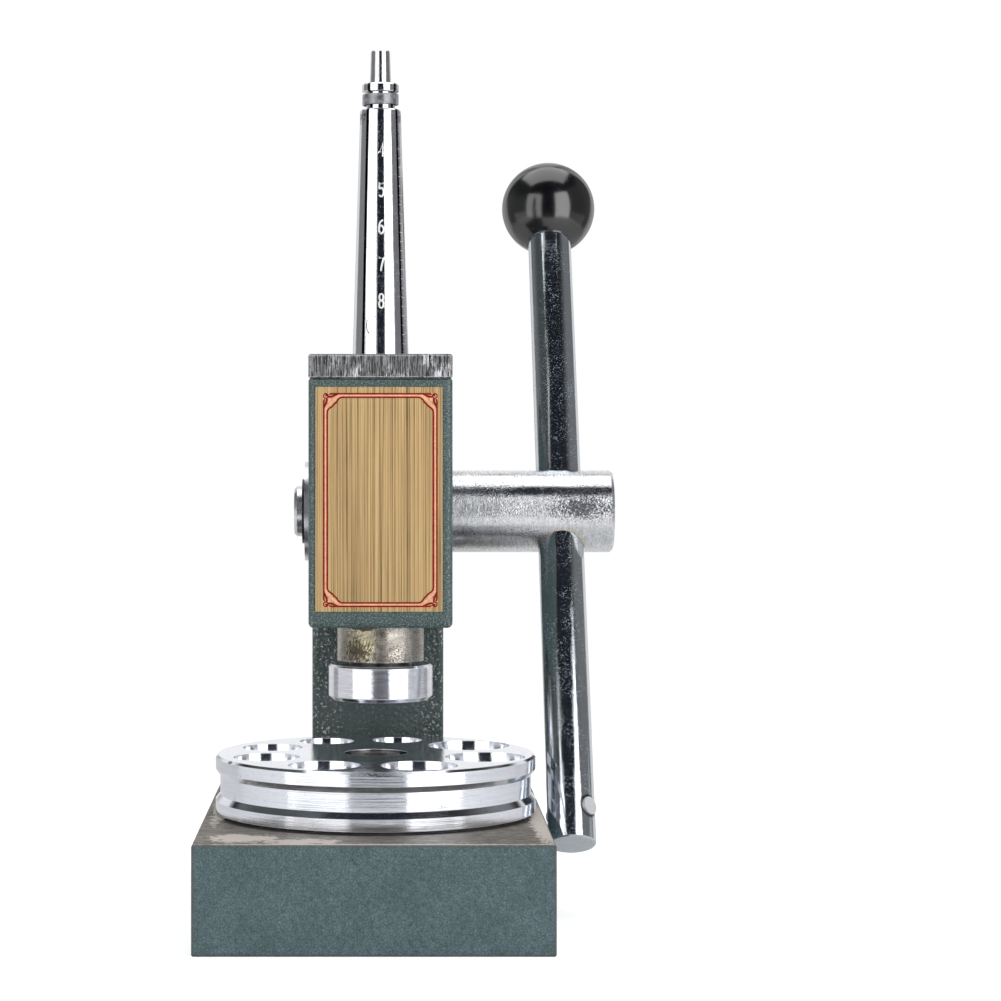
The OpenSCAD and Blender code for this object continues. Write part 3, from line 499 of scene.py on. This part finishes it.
def groundFinish(name, look):
    # flat-ground steel: straight marks down its sides and dull, stained faces
    material, tree, shader = newMaterial(name, Metallic=1.0)
    place = inMillimetres(tree)
    marks = useGroup(tree, grindMarks, Vector=vectorStep(tree, "MULTIPLY", place, look["stretch"]))
    tarnish = useGroup(tree, stains, Vector=place, Size=look["stainSize"], Cover=look["stainCover"])["Mask"]
    rubbed = useGroup(tree, wornEdges, Vector=place, Radius=look["edge"], Breakup=look["breakup"])["Mask"]
    base = mixColours(tree, mapValue(tree, marks["Lines"], 0.47, 0.56), look["dark"], look["light"])
    base = tint(tree, base, marks["Broad"], look["broadAmount"], look["dark"])
    base = tint(tree, base, tarnish, look["stainAmount"], look["stain"])
    base = mixColours(tree, rubbed, base, look["edgeColour"])
    feed(tree, figure(tree, "SUBTRACT", 1.0, times(tree, rubbed, look["edgeMatte"])), shader.inputs["Metallic"])
    feed(tree, base, shader.inputs["Base Color"])
    rough = mapValue(tree, marks["Lines"], 0.0, 1.0, look["rough"], look["rough"] + 0.2)
    feed(tree, rough, shader.inputs["Roughness"])
    setBump(tree, shader, marks["Lines"], look["depth"])
    return material


topPlateLook = {
    "stretch": (2.9, 2.9, 0.16), "dark": (0.02, 0.02, 0.022, 1), "light": (0.64, 0.65, 0.67, 1),
    "broadAmount": 0.35, "rough": 0.22, "depth": 0.0001,
    "stain": (0.05, 0.05, 0.05, 1), "stainSize": 7.0, "stainCover": 0.55, "stainAmount": 0.7,
    "edge": 0.0009, "breakup": 0.42, "edgeColour": (0.8, 0.8, 0.8, 1), "edgeMatte": 0.8,
}
assign(groundFinish("groundTopPlate", topPlateLook), "top_plate")


def labelFinish(name, look):
    # thin gilt aluminium with long upright streaks
    material, tree, shader = newMaterial(name, Metallic=0.35, Roughness=0.42)
    place = inMillimetres(tree)
    marks = useGroup(tree, grindMarks, Vector=vectorStep(tree, "MULTIPLY", place, look["stretch"]))
    slow = noise(tree, place, 0.05, 2.0)
    base = mixColours(tree, mapValue(tree, marks["Lines"], 0.19, 0.77), look["dark"], look["light"])
    base = tint(tree, base, marks["Broad"], look["middleAmount"], look["middle"])
    base = mixColours(tree, mapValue(tree, slow, 0.4, 0.65, 0.0, look["roseAmount"]), base, look["rose"])
    feed(tree, base, shader.inputs["Base Color"])
    setBump(tree, shader, marks["Lines"], look["depth"], 0.6)
    return material


labelLook = {
    "stretch": (5.4, 1.0, 0.008), "dark": (0.17, 0.105, 0.04, 1), "light": (0.78, 0.545, 0.26, 1),
    "middle": (0.44, 0.3, 0.12, 1), "middleAmount": 0.15, "rose": (0.6, 0.36, 0.17, 1), "roseAmount": 0.25,
    "depth": 0.00001,
}
assign(labelFinish("labelGilt", labelLook), "name_plate")


def groundTop(tree, place, look):
    # the base's upper face, ground bare after painting: crumbs of paint, scrapes and stains are left on it, with
    # painted contact shadow round the plate
    normal = addNode(tree, "NewGeometry").outputs["Normal"]
    up = mapValue(tree, coordinates(tree, normal)[2], 0.7, 0.9)
    chips = useGroup(tree, wornEdges, Vector=place, Radius=look["chipEdge"], Breakup=look["chipBreakup"],
                     Grain=look["chipGrain"])["Mask"]
    marks = useGroup(tree, grindMarks, Vector=vectorStep(tree, "MULTIPLY", place, look["bareStretch"]))
    bare = mixColours(tree, marks["Lines"], look["bareDark"], look["bareLight"])
    left = 0.0
    for patch in look["remnants"]:
        left = figure(tree, "MAXIMUM", left, patchMask(tree, place, patch))
    # painted contact shadow on the base round the plate, darkest where the plate sits
    flat = vectorStep(tree, "MULTIPLY", inMillimetres(tree, look["plateCentre"]), (1, 1, 0))
    ring = mapValue(tree, vectorStep(tree, "LENGTH", flat), look["contactShadowFrom"], look["contactShadowTo"], 0.9, 0.0)
    bare = mixColours(tree, ring, bare, look["contactShadow"])
    wide = vectorStep(tree, "MULTIPLY", place, look["soilStretch"])
    soil = useGroup(tree, stains, Vector=wide, Size=look["soilSize"], Cover=look["soilCover"])["Mask"]
    bare = tint(tree, bare, soil, look["soilAmount"], look["bareDark"])
    bare = mixColours(tree, left, bare, look["remnant"])
    bare = mixColours(tree, chips, bare, look["dark"])
    return up, left, bare


def paintFinish(name, look):
    # hammer-finish paint, worn on its edges, where a light edge colour is also a painted highlight; the casting
    # has a rougher column, painted darker partly as painted shade, and painted shade in the seam under its top
    # plate
    material, tree, shader = newMaterial(name, Metallic=0.0, IOR=1.5)
    place = inMillimetres(tree)
    parts = coordinates(tree, place)
    rise = parts[2]
    column = mapValue(tree, rise, look["columnTop"] - 0.4, look["columnTop"] + 0.4, 1.0, 0.0, smooth=False)
    skin = useGroup(tree, hammerSkin, Vector=place, Cell=look["cell"])
    base = mixColours(tree, mapValue(tree, skin["Shade"], 0.15, 0.85), look["dark"], look["light"])
    base = tint(tree, base, skin["Seams"], look["seams"], look["gritDark"])
    grit = noise(tree, place, 1 / look["gritSize"], 2.0, 0.7)
    base = mixColours(tree, mapValue(tree, grit, 0.34, 0.66, look["grit"], 0.0), base, look["gritDark"])
    base = mixColours(tree, mapValue(tree, grit, 0.52, 0.66, 0.0, look["grit"]), base, look["fleck"])
    # light crumbs on the column, few behind the ram and more towards its sides
    crumbs = noise(tree, place, look["crumbScale"], 3.0, 0.65)
    sideways = mapValue(tree, figure(tree, "ABSOLUTE", parts[0]), look["crumbsFrom"], look["crumbsTo"], 0.1, 1.0)
    crumb = times(tree, mapValue(tree, crumbs, 0.56, 0.64), sideways)
    # the column's darker green is partly its rougher paint and partly painted shade under the head
    green = tint(tree, look["column"], crumb, look["crumbs"], look["crumbColour"])
    base = mixColours(tree, column, base, green)
    worn = useGroup(tree, wornEdges, Vector=place, Radius=look["edge"], Breakup=look["breakup"], Grain=1.2)
    # every edge a little, and worn spots more, take the edge colour: on the casting it is light, a painted
    # highlight along its edges as well as wear; on the base it is dark rust
    edgeWearAndHighlight = plus(tree, times(tree, worn["Edge"], 0.4), times(tree, worn["Mask"], 0.6))
    base = tint(tree, base, edgeWearAndHighlight, look["edgeWearAndHighlightAmount"], look["edgeColour"])
    # painted shade: the paint darkens along the top of the casting, in the seam under the top plate
    seamShade = mapValue(tree, rise, look["joint"], look["joint"] + 0.4, 0.0, 0.85)
    base = mixColours(tree, seamShade, base, look["jointShade"])
    lumps = noise(tree, place, look["lumpScale"], 4.0, 0.6)
    rough = mapValue(tree, skin["Shade"], 0.2, 0.8, look["rough"], look["rough"] + 0.12)
    rough = figure(tree, "SUBTRACT", rough, times(tree, column, look["columnGloss"]))
    height = times(tree, skin["Height"], look["skinDepth"])
    height = plus(tree, height, times(tree, times(tree, lumps, column), look["lumps"]))
    if look["bareTop"]:
        up, left, bare = groundTop(tree, place, look)
        base = tint(tree, base, worn["Mask"], look["rustAmount"], look["rust"])
        base = mixColours(tree, up, base, bare)
        shine = figure(tree, "SUBTRACT", look["bareMetal"], times(tree, left, look["bareMetal"]))
        feed(tree, times(tree, up, shine), shader.inputs["Metallic"])
        rough = plus(tree, rough, times(tree, up, look["bareRough"]))
        height = times(tree, height, figure(tree, "SUBTRACT", 1.0, up))
    feed(tree, base, shader.inputs["Base Color"])
    feed(tree, rough, shader.inputs["Roughness"])
    setBump(tree, shader, height, look["bumpStep"])
    return material


castingLook = {
    "dark": (0.05, 0.08, 0.078, 1), "light": (0.105, 0.152, 0.148, 1), "fleck": (0.27, 0.33, 0.32, 1),
    "grit": 0.7, "gritSize": 0.5, "seams": 0.3, "gritDark": (0.012, 0.03, 0.032, 1),
    # the column's darker green is partly painted shade under the head
    "column": (0.05, 0.075, 0.073, 1), "columnTop": 94.4, "columnGloss": 0.24, "lumps": 9.0, "lumpScale": 0.7,
    "crumbs": 0.85, "crumbColour": (0.5, 0.54, 0.52, 1), "crumbScale": 0.9, "crumbsFrom": 10, "crumbsTo": 20,
    "cell": 0.9, "rough": 0.36, "skinDepth": 1.1, "bumpStep": 0.0001,
    # painted shade in the seam under the top plate
    "joint": 177.4, "jointShade": (0.012, 0.014, 0.014, 1),  # the seam under the top plate
    # light edges: a painted highlight along the casting's edges as well as wear
    "edge": 0.001, "breakup": 0.5, "edgeWearAndHighlightAmount": 0.8, "edgeColour": (0.42, 0.48, 0.47, 1), "bareTop": False,
}
assign(paintFinish("castingPaint", castingLook), "frame_casting")

baseLook = dict(
    castingLook, columnTop=-50.0, joint=500.0,  # out of reach: the base has no column and no such seam
    dark=(0.052, 0.09, 0.1, 1), light=(0.122, 0.193, 0.209, 1), seams=0.62, cell=1.15, grit=0.18,
    edge=0.0013, breakup=0.36, edgeWearAndHighlightAmount=1.0, edgeColour=(0.05, 0.036, 0.028, 1),
    rust=(0.1, 0.06, 0.045, 1), rustAmount=0.8,
    bareTop=True, bareDark=(0.08, 0.071, 0.062, 1), bareLight=(0.36, 0.33, 0.29, 1), bareStretch=(0.22, 0.7, 1),
    bareMetal=0.55, bareRough=0.15, chipEdge=0.0011, chipBreakup=0.62, chipGrain=0.9,
    remnant=(0.62, 0.555, 0.5, 1),
    # painted contact shadow on the base round the plate
    plateCentre=(-1.6, -37.77, 34), contactShadowFrom=53.6, contactShadowTo=56.5, contactShadow=(0.02, 0.018, 0.015, 1),
    soilStretch=(0.45, 1.3, 1), soilSize=7.0, soilCover=0.5, soilAmount=0.35,
    remnants=[
        {"at": (-43, -97, 34), "size": (13, 9, 3), "wild": 2.6, "grain": 0.28},
        {"at": (-24, -104, 34), "size": (12, 6, 3), "wild": 2.6, "grain": 0.3},
        {"at": (52, -60, 34), "size": (4, 60, 3), "wild": 2.4, "grain": 0.6},
        {"at": (0, -110, 34), "size": (60, 1.6, 3), "wild": 2.2, "grain": 0.7},
        {"at": (-53, -20, 34), "size": (3, 50, 3), "wild": 2.2, "grain": 0.6},
    ],
)
assign(paintFinish("basePaint", baseLook), "base_block")


def knobFinish(name, look):
    # moulded black plastic, polished, with faint dust
    material, tree, shader = newMaterial(name, Metallic=0.0, IOR=1.5, Specular_IOR_Level=look["shine"])
    place = inMillimetres(tree)
    dust = useGroup(tree, stains, Vector=place, Size=look["dustSize"], Cover=look["dustCover"])["Mask"]
    feed(tree, tint(tree, look["colour"], dust, look["dustAmount"], look["dust"]), shader.inputs["Base Color"])
    feed(tree, plus(tree, look["rough"], times(tree, dust, look["dustRough"])), shader.inputs["Roughness"])
    return material


knobLook = {
    "colour": (0.003, 0.003, 0.004, 1), "rough": 0.17, "shine": 0.95,
    "dust": (0.05, 0.05, 0.05, 1), "dustSize": 6.0, "dustCover": 0.3, "dustAmount": 0.06, "dustRough": 0.06,
}
assign(knobFinish("knobBlack", knobLook), "lever_knob")
print("finishes made")


def addPiece(name, build, body, material):
    # a finished bmesh becomes a piece that rides on a body
    bmesh.ops.recalc_face_normals(build, faces=build.faces)
    mesh = bpy.data.meshes.new(name)
    build.to_mesh(mesh)
    build.free()
    mesh.materials.append(material)
    piece = bpy.data.objects.new(name, mesh)
    bpy.context.scene.collection.objects.link(piece)
    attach(piece, body)
    return piece


# closely wound wire round the leaves' neck, in place of the plain ring
springRing = {"wire": 0.44, "radius": 6.1, "low": 273.1, "high": 276.75, "turns": 9.0, "steps": 56, "sides": 8}


def makeSpringCoil(look):
    build = bmesh.new()
    total = int(look["turns"] * look["steps"])
    rings = []
    for i in range(total + 1):
        along = i / total
        angle = math.radians(90) + 2 * math.pi * look["turns"] * along
        outward = Vector((math.cos(angle), math.sin(angle), 0))
        middle = outward * look["radius"] + Vector((0, 0, look["low"] + (look["high"] - look["low"]) * along))
        reach = look["wire"] / 2 * min(1.0, 0.25 + 6 * min(along, 1 - along) * look["turns"])  # ends run thin
        ring = []
        for j in range(look["sides"]):
            part = 2 * math.pi * j / look["sides"]
            spoke = outward * math.cos(part) + Vector((0, 0, math.sin(part)))
            ring.append(build.verts.new((middle + spoke * reach) * mm))
        rings.append(ring)
    for first, second in zip(rings, rings[1:]):
        for j in range(look["sides"]):
            k = (j + 1) % look["sides"]
            build.faces.new((first[j], second[j], second[k], first[k])).smooth = True
    build.faces.new(rings[0])
    build.faces.new(list(reversed(rings[-1])))
    wire = turnedFinish("springWire", steelLook(rough=0.3, colour=(0.3, 0.3, 0.32, 1), grain=0.3))
    coil = addPiece("springCoil", build, "frame", wire)
    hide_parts("leaf_spring_ring")


makeSpringCoil(springRing)
print("spring ring wound")


def arcPoints(centre, radius, start, end, steps=14, squash=1.0):
    points = []
    for i in range(steps + 1):
        angle = math.radians(start + (end - start) * i / steps)
        points.append((centre[0] + radius * math.cos(angle) * squash, centre[1] + radius * math.sin(angle)))
    return points


def strokeSides(points, width, closed=False):
    # the two edges of a pen stroke along a line of points, with mitred corners
    count = len(points)
    left, right = [], []
    for i, point in enumerate(points):
        here = Vector(point)
        before = Vector(points[i - 1]) if i or closed else None
        after = Vector(points[(i + 1) % count]) if i < count - 1 or closed else None
        pairs = [pair for pair in ((before, here), (here, after)) if None not in pair]
        ways = [(b - a).normalized() for a, b in pairs]
        way = sum(ways, Vector((0, 0))).normalized()
        side = Vector((-way.y, way.x))
        reach = width / 2 / max(0.5, side.dot(Vector((-ways[0].y, ways[0].x))))
        left.append(here + side * reach)
        right.append(here - side * reach)
    return left, right


# sizes engraved on the front leaf, and a tick every few mm on the right one
mandrelMarks = {
    "coneTop": 271.5, "topRadius": 7.0, "taper": 0.03125, "lift": 0.035,
    "height": 4.7, "slim": 0.6, "aside": 0.3, "width": 0.62,
    "sizes": {"4": 256.9, "5": 243.2, "6": 230.5, "7": 217.6, "8": 205.1},
    "tickFrom": 190.4, "tickTo": 259.0, "tickStep": 3.2, "tickAngles": (53.5, 63.0), "tickWidth": 0.28,
    "scratchWidth": 0.3,
    "scratch": [(-4.75, 198.6), (-4.95, 197.2), (-4.9, 195.8), (-4.6, 194.7), (-4.15, 194.0), (-3.9, 194.4)],
}


def figureStrokes():
    # the strokes of each figure in a box one high
    return {
        "4": [[(0.2, 0.0), (0.2, 1.0), (-0.34, 0.3), (0.42, 0.3)]],
        "5": [[(0.3, 0.98), (-0.22, 0.98), (-0.27, 0.56)],
              [(-0.27, 0.56)] + arcPoints((-0.02, 0.32), 0.31, 118, -142, 16)],
        "6": [[(0.22, 0.98)] + arcPoints((0.14, 0.32), 0.62, 108, 178, 8, 0.72),
              arcPoints((0.0, 0.29), 0.29, 0, 360, 20)],
        "7": [[(-0.3, 0.98), (0.32, 0.98), (0.16, 0.66), (0.02, 0.34), (-0.06, 0.0)]],
        "8": [arcPoints((0.0, 0.74), 0.25, 0, 360, 18), arcPoints((0.0, 0.25), 0.28, 0, 360, 20)],
    }


def onMandrel(look, angle, level, lift):
    # a point on the taper; angle 0 faces the front, and level is its height in mm
    radius = look["topRadius"] + (look["coneTop"] - level) * look["taper"] + lift
    return Vector((radius * math.sin(angle), -radius * math.cos(angle), level)) * mm


def engrave(build, look, points, width, closed=False):
    # a shallow channel: its edges stand a hair proud and its middle is lower. Points are (mm round, mm up)
    radius = look["topRadius"] + (look["coneTop"] - points[0][1]) * look["taper"]
    left, right = strokeSides(points, width, closed)
    rows = []
    for a, b, c in zip(left, points, right):
        rows.append([build.verts.new(onMandrel(look, p[0] / radius, p[1], lift))
                     for p, lift in ((a, look["lift"]), (b, look["lift"] * 0.3), (c, look["lift"]))])
    spans = list(zip(rows, rows[1:])) + ([(rows[-1], rows[0])] if closed else [])
    for first, second in spans:
        for j in range(2):
            build.faces.new((first[j], first[j + 1], second[j + 1], second[j]))


def makeMandrelMarks(look):
    cutLook = steelLook(colour=(0.9, 0.9, 0.9, 1), rough=0.5, lineTint=0.1, ringDepth=0.0, stainAmount=0.1,
                        grain=0.2)
    whiteCut = turnedFinish("engravedCut", cutLook)
    build = bmesh.new()
    for text, level in look["sizes"].items():
        for stroke in figureStrokes()[text]:
            closed = (Vector(stroke[0]) - Vector(stroke[-1])).length < 1e-6
            line = stroke[:-1] if closed else stroke
            size = look["height"]
            points = [(look["aside"] + x * size * look["slim"], level + (y - 0.5) * size) for x, y in line]
            engrave(build, look, points, look["width"], closed)
    addPiece("sizeFigures", build, "leaf_front", whiteCut)
    build = bmesh.new()
    level = look["tickFrom"]
    while level <= look["tickTo"]:
        radius = look["topRadius"] + (look["coneTop"] - level) * look["taper"]
        low, high = (math.radians(a) * radius for a in look["tickAngles"])
        engrave(build, look, [(low + (high - low) * i / 5, level) for i in range(6)], look["tickWidth"])
        level += look["tickStep"]
    addPiece("sizeTicks", build, "leaf_right", whiteCut)
    build = bmesh.new()
    engrave(build, look, look["scratch"], look["scratchWidth"])
    darkCut = turnedFinish("scratchDark", steelLook(colour=(0.04, 0.04, 0.045, 1), rough=0.4, lineTint=0.0))
    addPiece("mandrelScratch", build, "leaf_front", darkCut)


makeMandrelMarks(mandrelMarks)
print("mandrel marked")


# the label's red border: two lines with a peach band between, and a rosette with two curls in each corner
labelBorder = {
    "left": -19.3, "right": 19.2, "low": 101.3, "high": 173.1, "face": -29.5, "line": 0.57, "gap": 2.7,
    "innerCorner": [(1.45, 6.8), (1.55, 5.9), (2.1, 5.2), (2.7, 4.8), (3.3, 4.4), (3.75, 3.75), (4.4, 3.3),
                    (4.8, 2.7), (5.2, 2.1), (5.9, 1.55), (6.8, 1.45)],
    "curl": [(2.15, 0.7), (2.4, 0.4), (2.75, 0.25)],
    "leaf": [(1.9, 1.35), (2.6, 1.3), (3.4, 1.05), (4.1, 0.7), (4.9, 0.3)],
    "rosette": (1.0, 1.0, 0.5), "rosetteEye": 0.42, "eyeWidth": 0.26,
    "peachWidth": 1.0, "peachInset": 0.85, "peachGap": 6.8, "peachDisc": (1.5, 1.5, 0.8, 1.3),
    "peachCorner": [(0.85, 6.8), (0.9, 5.7), (1.5, 4.5), (2.5, 3.6), (3.6, 2.5), (4.5, 1.5), (5.7, 0.9),
                    (6.8, 0.85)],
    # how far each print stands off the label, so that none lies in another
    "redLift": 0.06, "leafLift": 0.065, "eyeLift": 0.075, "peachLift": 0.03, "discLift": 0.025,
    "redDark": (0.16, 0.006, 0.003, 1), "red": (0.29, 0.012, 0.006, 1),
    "peachDark": (0.7, 0.34, 0.2, 1), "peach": (0.85, 0.45, 0.29, 1),
}


def flatStroke(build, points, width, level, closed=False):
    left, right = strokeSides(points, width, closed)
    a = [build.verts.new((p[0] * mm, level * mm, p[1] * mm)) for p in left]
    b = [build.verts.new((p[0] * mm, level * mm, p[1] * mm)) for p in right]
    count = len(points)
    for i in range(count if closed else count - 1):
        j = (i + 1) % count
        build.faces.new((a[i], a[j], b[j], b[i]))


def makeLabelBorder(look):
    red, peach = bmesh.new(), bmesh.new()
    face, left, right, low, high = (look[key] for key in ("face", "left", "right", "low", "high"))
    corners = [(left, high, 1, -1), (right, high, -1, -1), (right, low, -1, 1), (left, low, 1, 1)]
    inner = []
    for number, (x, z, towardX, towardZ) in enumerate(corners):
        def put(points):
            return [(x + u * towardX, z + v * towardZ) for u, v in points]

        corner = put(look["innerCorner"])
        inner += corner if number % 2 == 0 else list(reversed(corner))
        u, v, radius = look["rosette"]
        flatStroke(red, put(arcPoints((u, v), radius, 0, 342, 19)), 2 * radius - 0.02, face - look["redLift"],
                   True)
        flatStroke(peach, put(arcPoints((u, v), look["rosetteEye"], 20, 250, 12)), look["eyeWidth"],
                   face - look["eyeLift"])
        for points, wide, lift in ((look["curl"], 0.95, look["redLift"]), (look["leaf"], 1.2, look["leafLift"])):
            for line in (points, [(b, a) for a, b in points]):
                flatStroke(red, put(line), look["line"] * wide, face - lift)
        flatStroke(peach, put(look["peachCorner"]), look["peachWidth"], face - look["peachLift"])
        u, v, radius, wide = look["peachDisc"]
        flatStroke(peach, put(arcPoints((u, v), radius, 0, 342, 19)), wide, face - look["discLift"], True)
    flatStroke(red, inner, look["line"], face - look["redLift"], True)
    sides = [(left, right, high, -1, False), (left, right, low, 1, False),
             (low, high, left, 1, True), (low, high, right, -1, True)]
    strips = [(red, look["gap"], look["line"] / 2, look["line"], look["redLift"]),
              (peach, look["peachGap"], look["peachInset"], look["peachWidth"], look["peachLift"])]
    for start, end, edge, inward, upright in sides:
        for build, gap, inset, wide, lift in strips:
            ends = [(start + gap, edge + inset * inward), (end - gap, edge + inset * inward)]
            flatStroke(build, [(b, a) for a, b in ends] if upright else ends, wide, face - lift)
    redInk = enamelFinish("borderRed", look["redDark"], look["red"])
    addPiece("borderRed", red, "frame", redInk)
    peachInk = enamelFinish("borderPeach", look["peachDark"], look["peach"])
    addPiece("borderPeach", peach, "frame", peachInk)


def enamelFinish(name, dark, light):
    # thin printed lacquer, a little uneven
    material, tree, shader = newMaterial(name, Metallic=0.0, Roughness=0.5, Specular_IOR_Level=0.2)
    place = inMillimetres(tree)
    uneven = noise(tree, place, 1.3, 5.0, 0.6)
    base = mixColours(tree, mapValue(tree, uneven, 0.35, 0.65), dark, light)
    feed(tree, base, shader.inputs["Base Color"])
    return material


makeLabelBorder(labelBorder)
print("label border drawn")


# white floor and backdrop, two soft boxes in front, one overhead, and a low strip on each side
studio = {
    "floor": [(-0.4, -0.45), (0.4, -0.45), (0.58, -0.2), (0.58, 0.5), (-0.58, 0.5), (-0.58, -0.2)],
    "floorWhite": (0.9, 0.9, 0.9, 1), "floorLift": 0.52, "floorShine": 0.05,
    # soft boxes: azimuth (0 is the camera's side, 90 the right), distance, width, lowest and highest point, level
    "boxes": [
        {"name": "softBoxRight", "turn": 40.5, "away": 0.7, "width": 0.5, "low": -0.1, "high": 0.79, "level": 3.4},
        {"name": "softBoxLeft", "turn": -40, "away": 0.75, "width": 0.6, "low": -0.3, "high": 0.79, "level": 2.1},
        {"name": "lowStripLeft", "turn": -80, "away": 0.5, "width": 0.5, "low": 0.0, "high": 0.17, "level": 0.5},
        {"name": "lowStripRight", "turn": 84, "away": 0.5, "width": 0.5, "low": 0.0, "high": 0.17, "level": 0.3},
    ],
    "overhead": {"name": "softBoxOverhead", "x": 0.9, "front": -0.16, "back": 0.5, "height": 0.9, "level": 2.0},
    # what metal mirrors beside the lamps, in degrees round (0 in front, 180 behind) and up: from, to, and levels
    "dim": 0.022, "sides": (59, 130, 4), "leftFade": (36, 14, 0.07, 0.24), "rightFade": (52, 34, 0.0, 0.2),
    "sheetStart": (0, 25, 123, 136), "sheetSoft": 7.0, "sheetFade": (152, 160, 0.9, 0.5),
    "sheetBehind": (164, 170, 0.0, 0.45), "sheetTop": (66, 50),
    "shadeMiddle": (0.7, 0.88, 1.3, 1), "shadeRight": (0.96, 0.97, 1.06, 1), "shadeLeft": (0.9, 1.03, 1.0, 1),
}


def makeFloor(look):
    mesh = bpy.data.meshes.new("studioFloor")
    mesh.from_pydata([(x, y, 0) for x, y in look["floor"]], [], [range(len(look["floor"]))])
    floor = bpy.data.objects.new("studioFloor", mesh)
    bpy.context.scene.collection.objects.link(floor)
    material, tree, shader = newMaterial("floorWhite", Roughness=0.9)
    shader.inputs["Base Color"].default_value = look["floorWhite"]
    # seen straight or in metal the floor is lifted to white, and keeps its shadow
    ray = addNode(tree, "LightPath").outputs
    mirrored = plus(tree, ray["Is Glossy Ray"], ray["Is Transmission Ray"])
    lift = plus(tree, times(tree, ray["Is Camera Ray"], look["floorLift"]),
                times(tree, mirrored, look["floorShine"]))
    shader.inputs["Emission Color"].default_value = (1, 1, 1, 1)
    feed(tree, lift, shader.inputs["Emission Strength"])
    mesh.materials.append(material)


def makeWorld(look):
    world = bpy.data.worlds.new("studio")
    bpy.context.scene.world = world
    world.use_nodes = True
    tree = world.node_tree
    tree.nodes.clear()
    parts = coordinates(tree, addNode(tree, "TexCoord").outputs["Generated"])
    turn = figure(tree, "DEGREES", figure(tree, "ARCTAN2", parts[0], times(tree, parts[1], -1.0)))
    rise = figure(tree, "DEGREES", figure(tree, "ARCSINE", parts[2]))

    def window(value, low, high, soft):
        up = mapValue(tree, value, low - soft, low + soft)
        down = mapValue(tree, value, high - soft, high + soft, 1.0, 0.0)
        return times(tree, up, down)

    away = figure(tree, "ABSOLUTE", turn)
    left = times(tree, mapValue(tree, turn, 0, -10), mapValue(tree, rise, *look["leftFade"]))
    right = times(tree, mapValue(tree, turn, 0, 10), mapValue(tree, rise, *look["rightFade"]))
    sides = times(tree, window(away, *look["sides"]), plus(tree, left, right))
    # the white sheet behind goes up and over, with a grey strip on each side of it
    start = mapValue(tree, rise, *look["sheetStart"])
    sheet = times(tree, mapValue(tree, away, start, plus(tree, start, look["sheetSoft"])),
                  mapValue(tree, away, *look["sheetFade"]))
    sheet = plus(tree, sheet, mapValue(tree, away, *look["sheetBehind"]))
    sheet = times(tree, sheet, mapValue(tree, rise, *look["sheetTop"]))
    level = plus(tree, plus(tree, look["dim"], sides), sheet)
    seen = addNode(tree, "LightPath").outputs["Is Camera Ray"]
    shown = addNode(tree, "Background", Strength=1.0, Color=(1, 1, 1, 1))
    shade = mixColours(tree, mapValue(tree, parts[0], 0.15, 0.45), look["shadeMiddle"], look["shadeRight"])
    shade = mixColours(tree, mapValue(tree, parts[0], -0.15, -0.45), shade, look["shadeLeft"])
    tone = mixColours(tree, mapValue(tree, level, 0.05, 0.3), shade, (1, 1, 1, 1))
    lit = addNode(tree, "Background", Color=tone, Strength=level)
    either = addNode(tree, "MixShader", Fac=seen)
    tree.links.new(lit.outputs[0], either.inputs[1])
    tree.links.new(shown.outputs[0], either.inputs[2])
    out = tree.nodes.new("ShaderNodeOutputWorld")
    tree.links.new(either.outputs[0], out.inputs["Surface"])


def makeBox(name, place, across, along, size, level):
    # a flat lamp that faces along "across" x "along"; its power gives the wanted brightness
    lamp = bpy.data.lights.new(name, "AREA")
    lamp.shape = "RECTANGLE"
    lamp.size, lamp.size_y = size
    lamp.energy = level * math.pi * size[0] * size[1]
    box = bpy.data.objects.new(name, lamp)
    facing = across.cross(along)
    box.matrix_world = Matrix((
        (across.x, along.x, facing.x, place.x),
        (across.y, along.y, facing.y, place.y),
        (across.z, along.z, facing.z, place.z),
        (0, 0, 0, 1),
    ))
    box.visible_camera = False
    bpy.context.scene.collection.objects.link(box)


def makeLamps(look):
    for box in look["boxes"]:
        turn = math.radians(box["turn"])
        outward = Vector((math.sin(turn), -math.cos(turn), 0))
        place = outward * box["away"] + Vector((0, 0, (box["low"] + box["high"]) / 2))
        across = Vector((0, 0, 1)).cross(outward)
        size = (box["width"], box["high"] - box["low"])
        makeBox(box["name"], place, across, Vector((0, 0, 1)), size, box["level"])
    top = look["overhead"]
    place = Vector((0, (top["front"] + top["back"]) / 2, top["height"]))
    size = (top["x"], top["back"] - top["front"])
    makeBox(top["name"], place, Vector((1, 0, 0)), Vector((0, 1, 0)), size, top["level"])


makeFloor(studio)
makeWorld(studio)
makeLamps(studio)

camera = {"place": (0, -0.924, 0.158), "sensor": 36, "pictureWidth": 1001, "focal": 2670, "shift": (120, -62.5)}
lens = bpy.data.cameras.new("camera")
lens.sensor_width = camera["sensor"]
lens.lens = camera["sensor"] * camera["focal"] / camera["pictureWidth"]  # focal and shift are in pixels
lens.shift_x, lens.shift_y = (pixels / camera["pictureWidth"] for pixels in camera["shift"])
eye = bpy.data.objects.new("camera", lens)
eye.location = camera["place"]
eye.rotation_euler = (math.radians(90), 0, 0)
bpy.context.scene.collection.objects.link(eye)
bpy.context.scene.camera = eye
bpy.context.scene.view_settings.view_transform = "Standard"
print("studio and camera set")
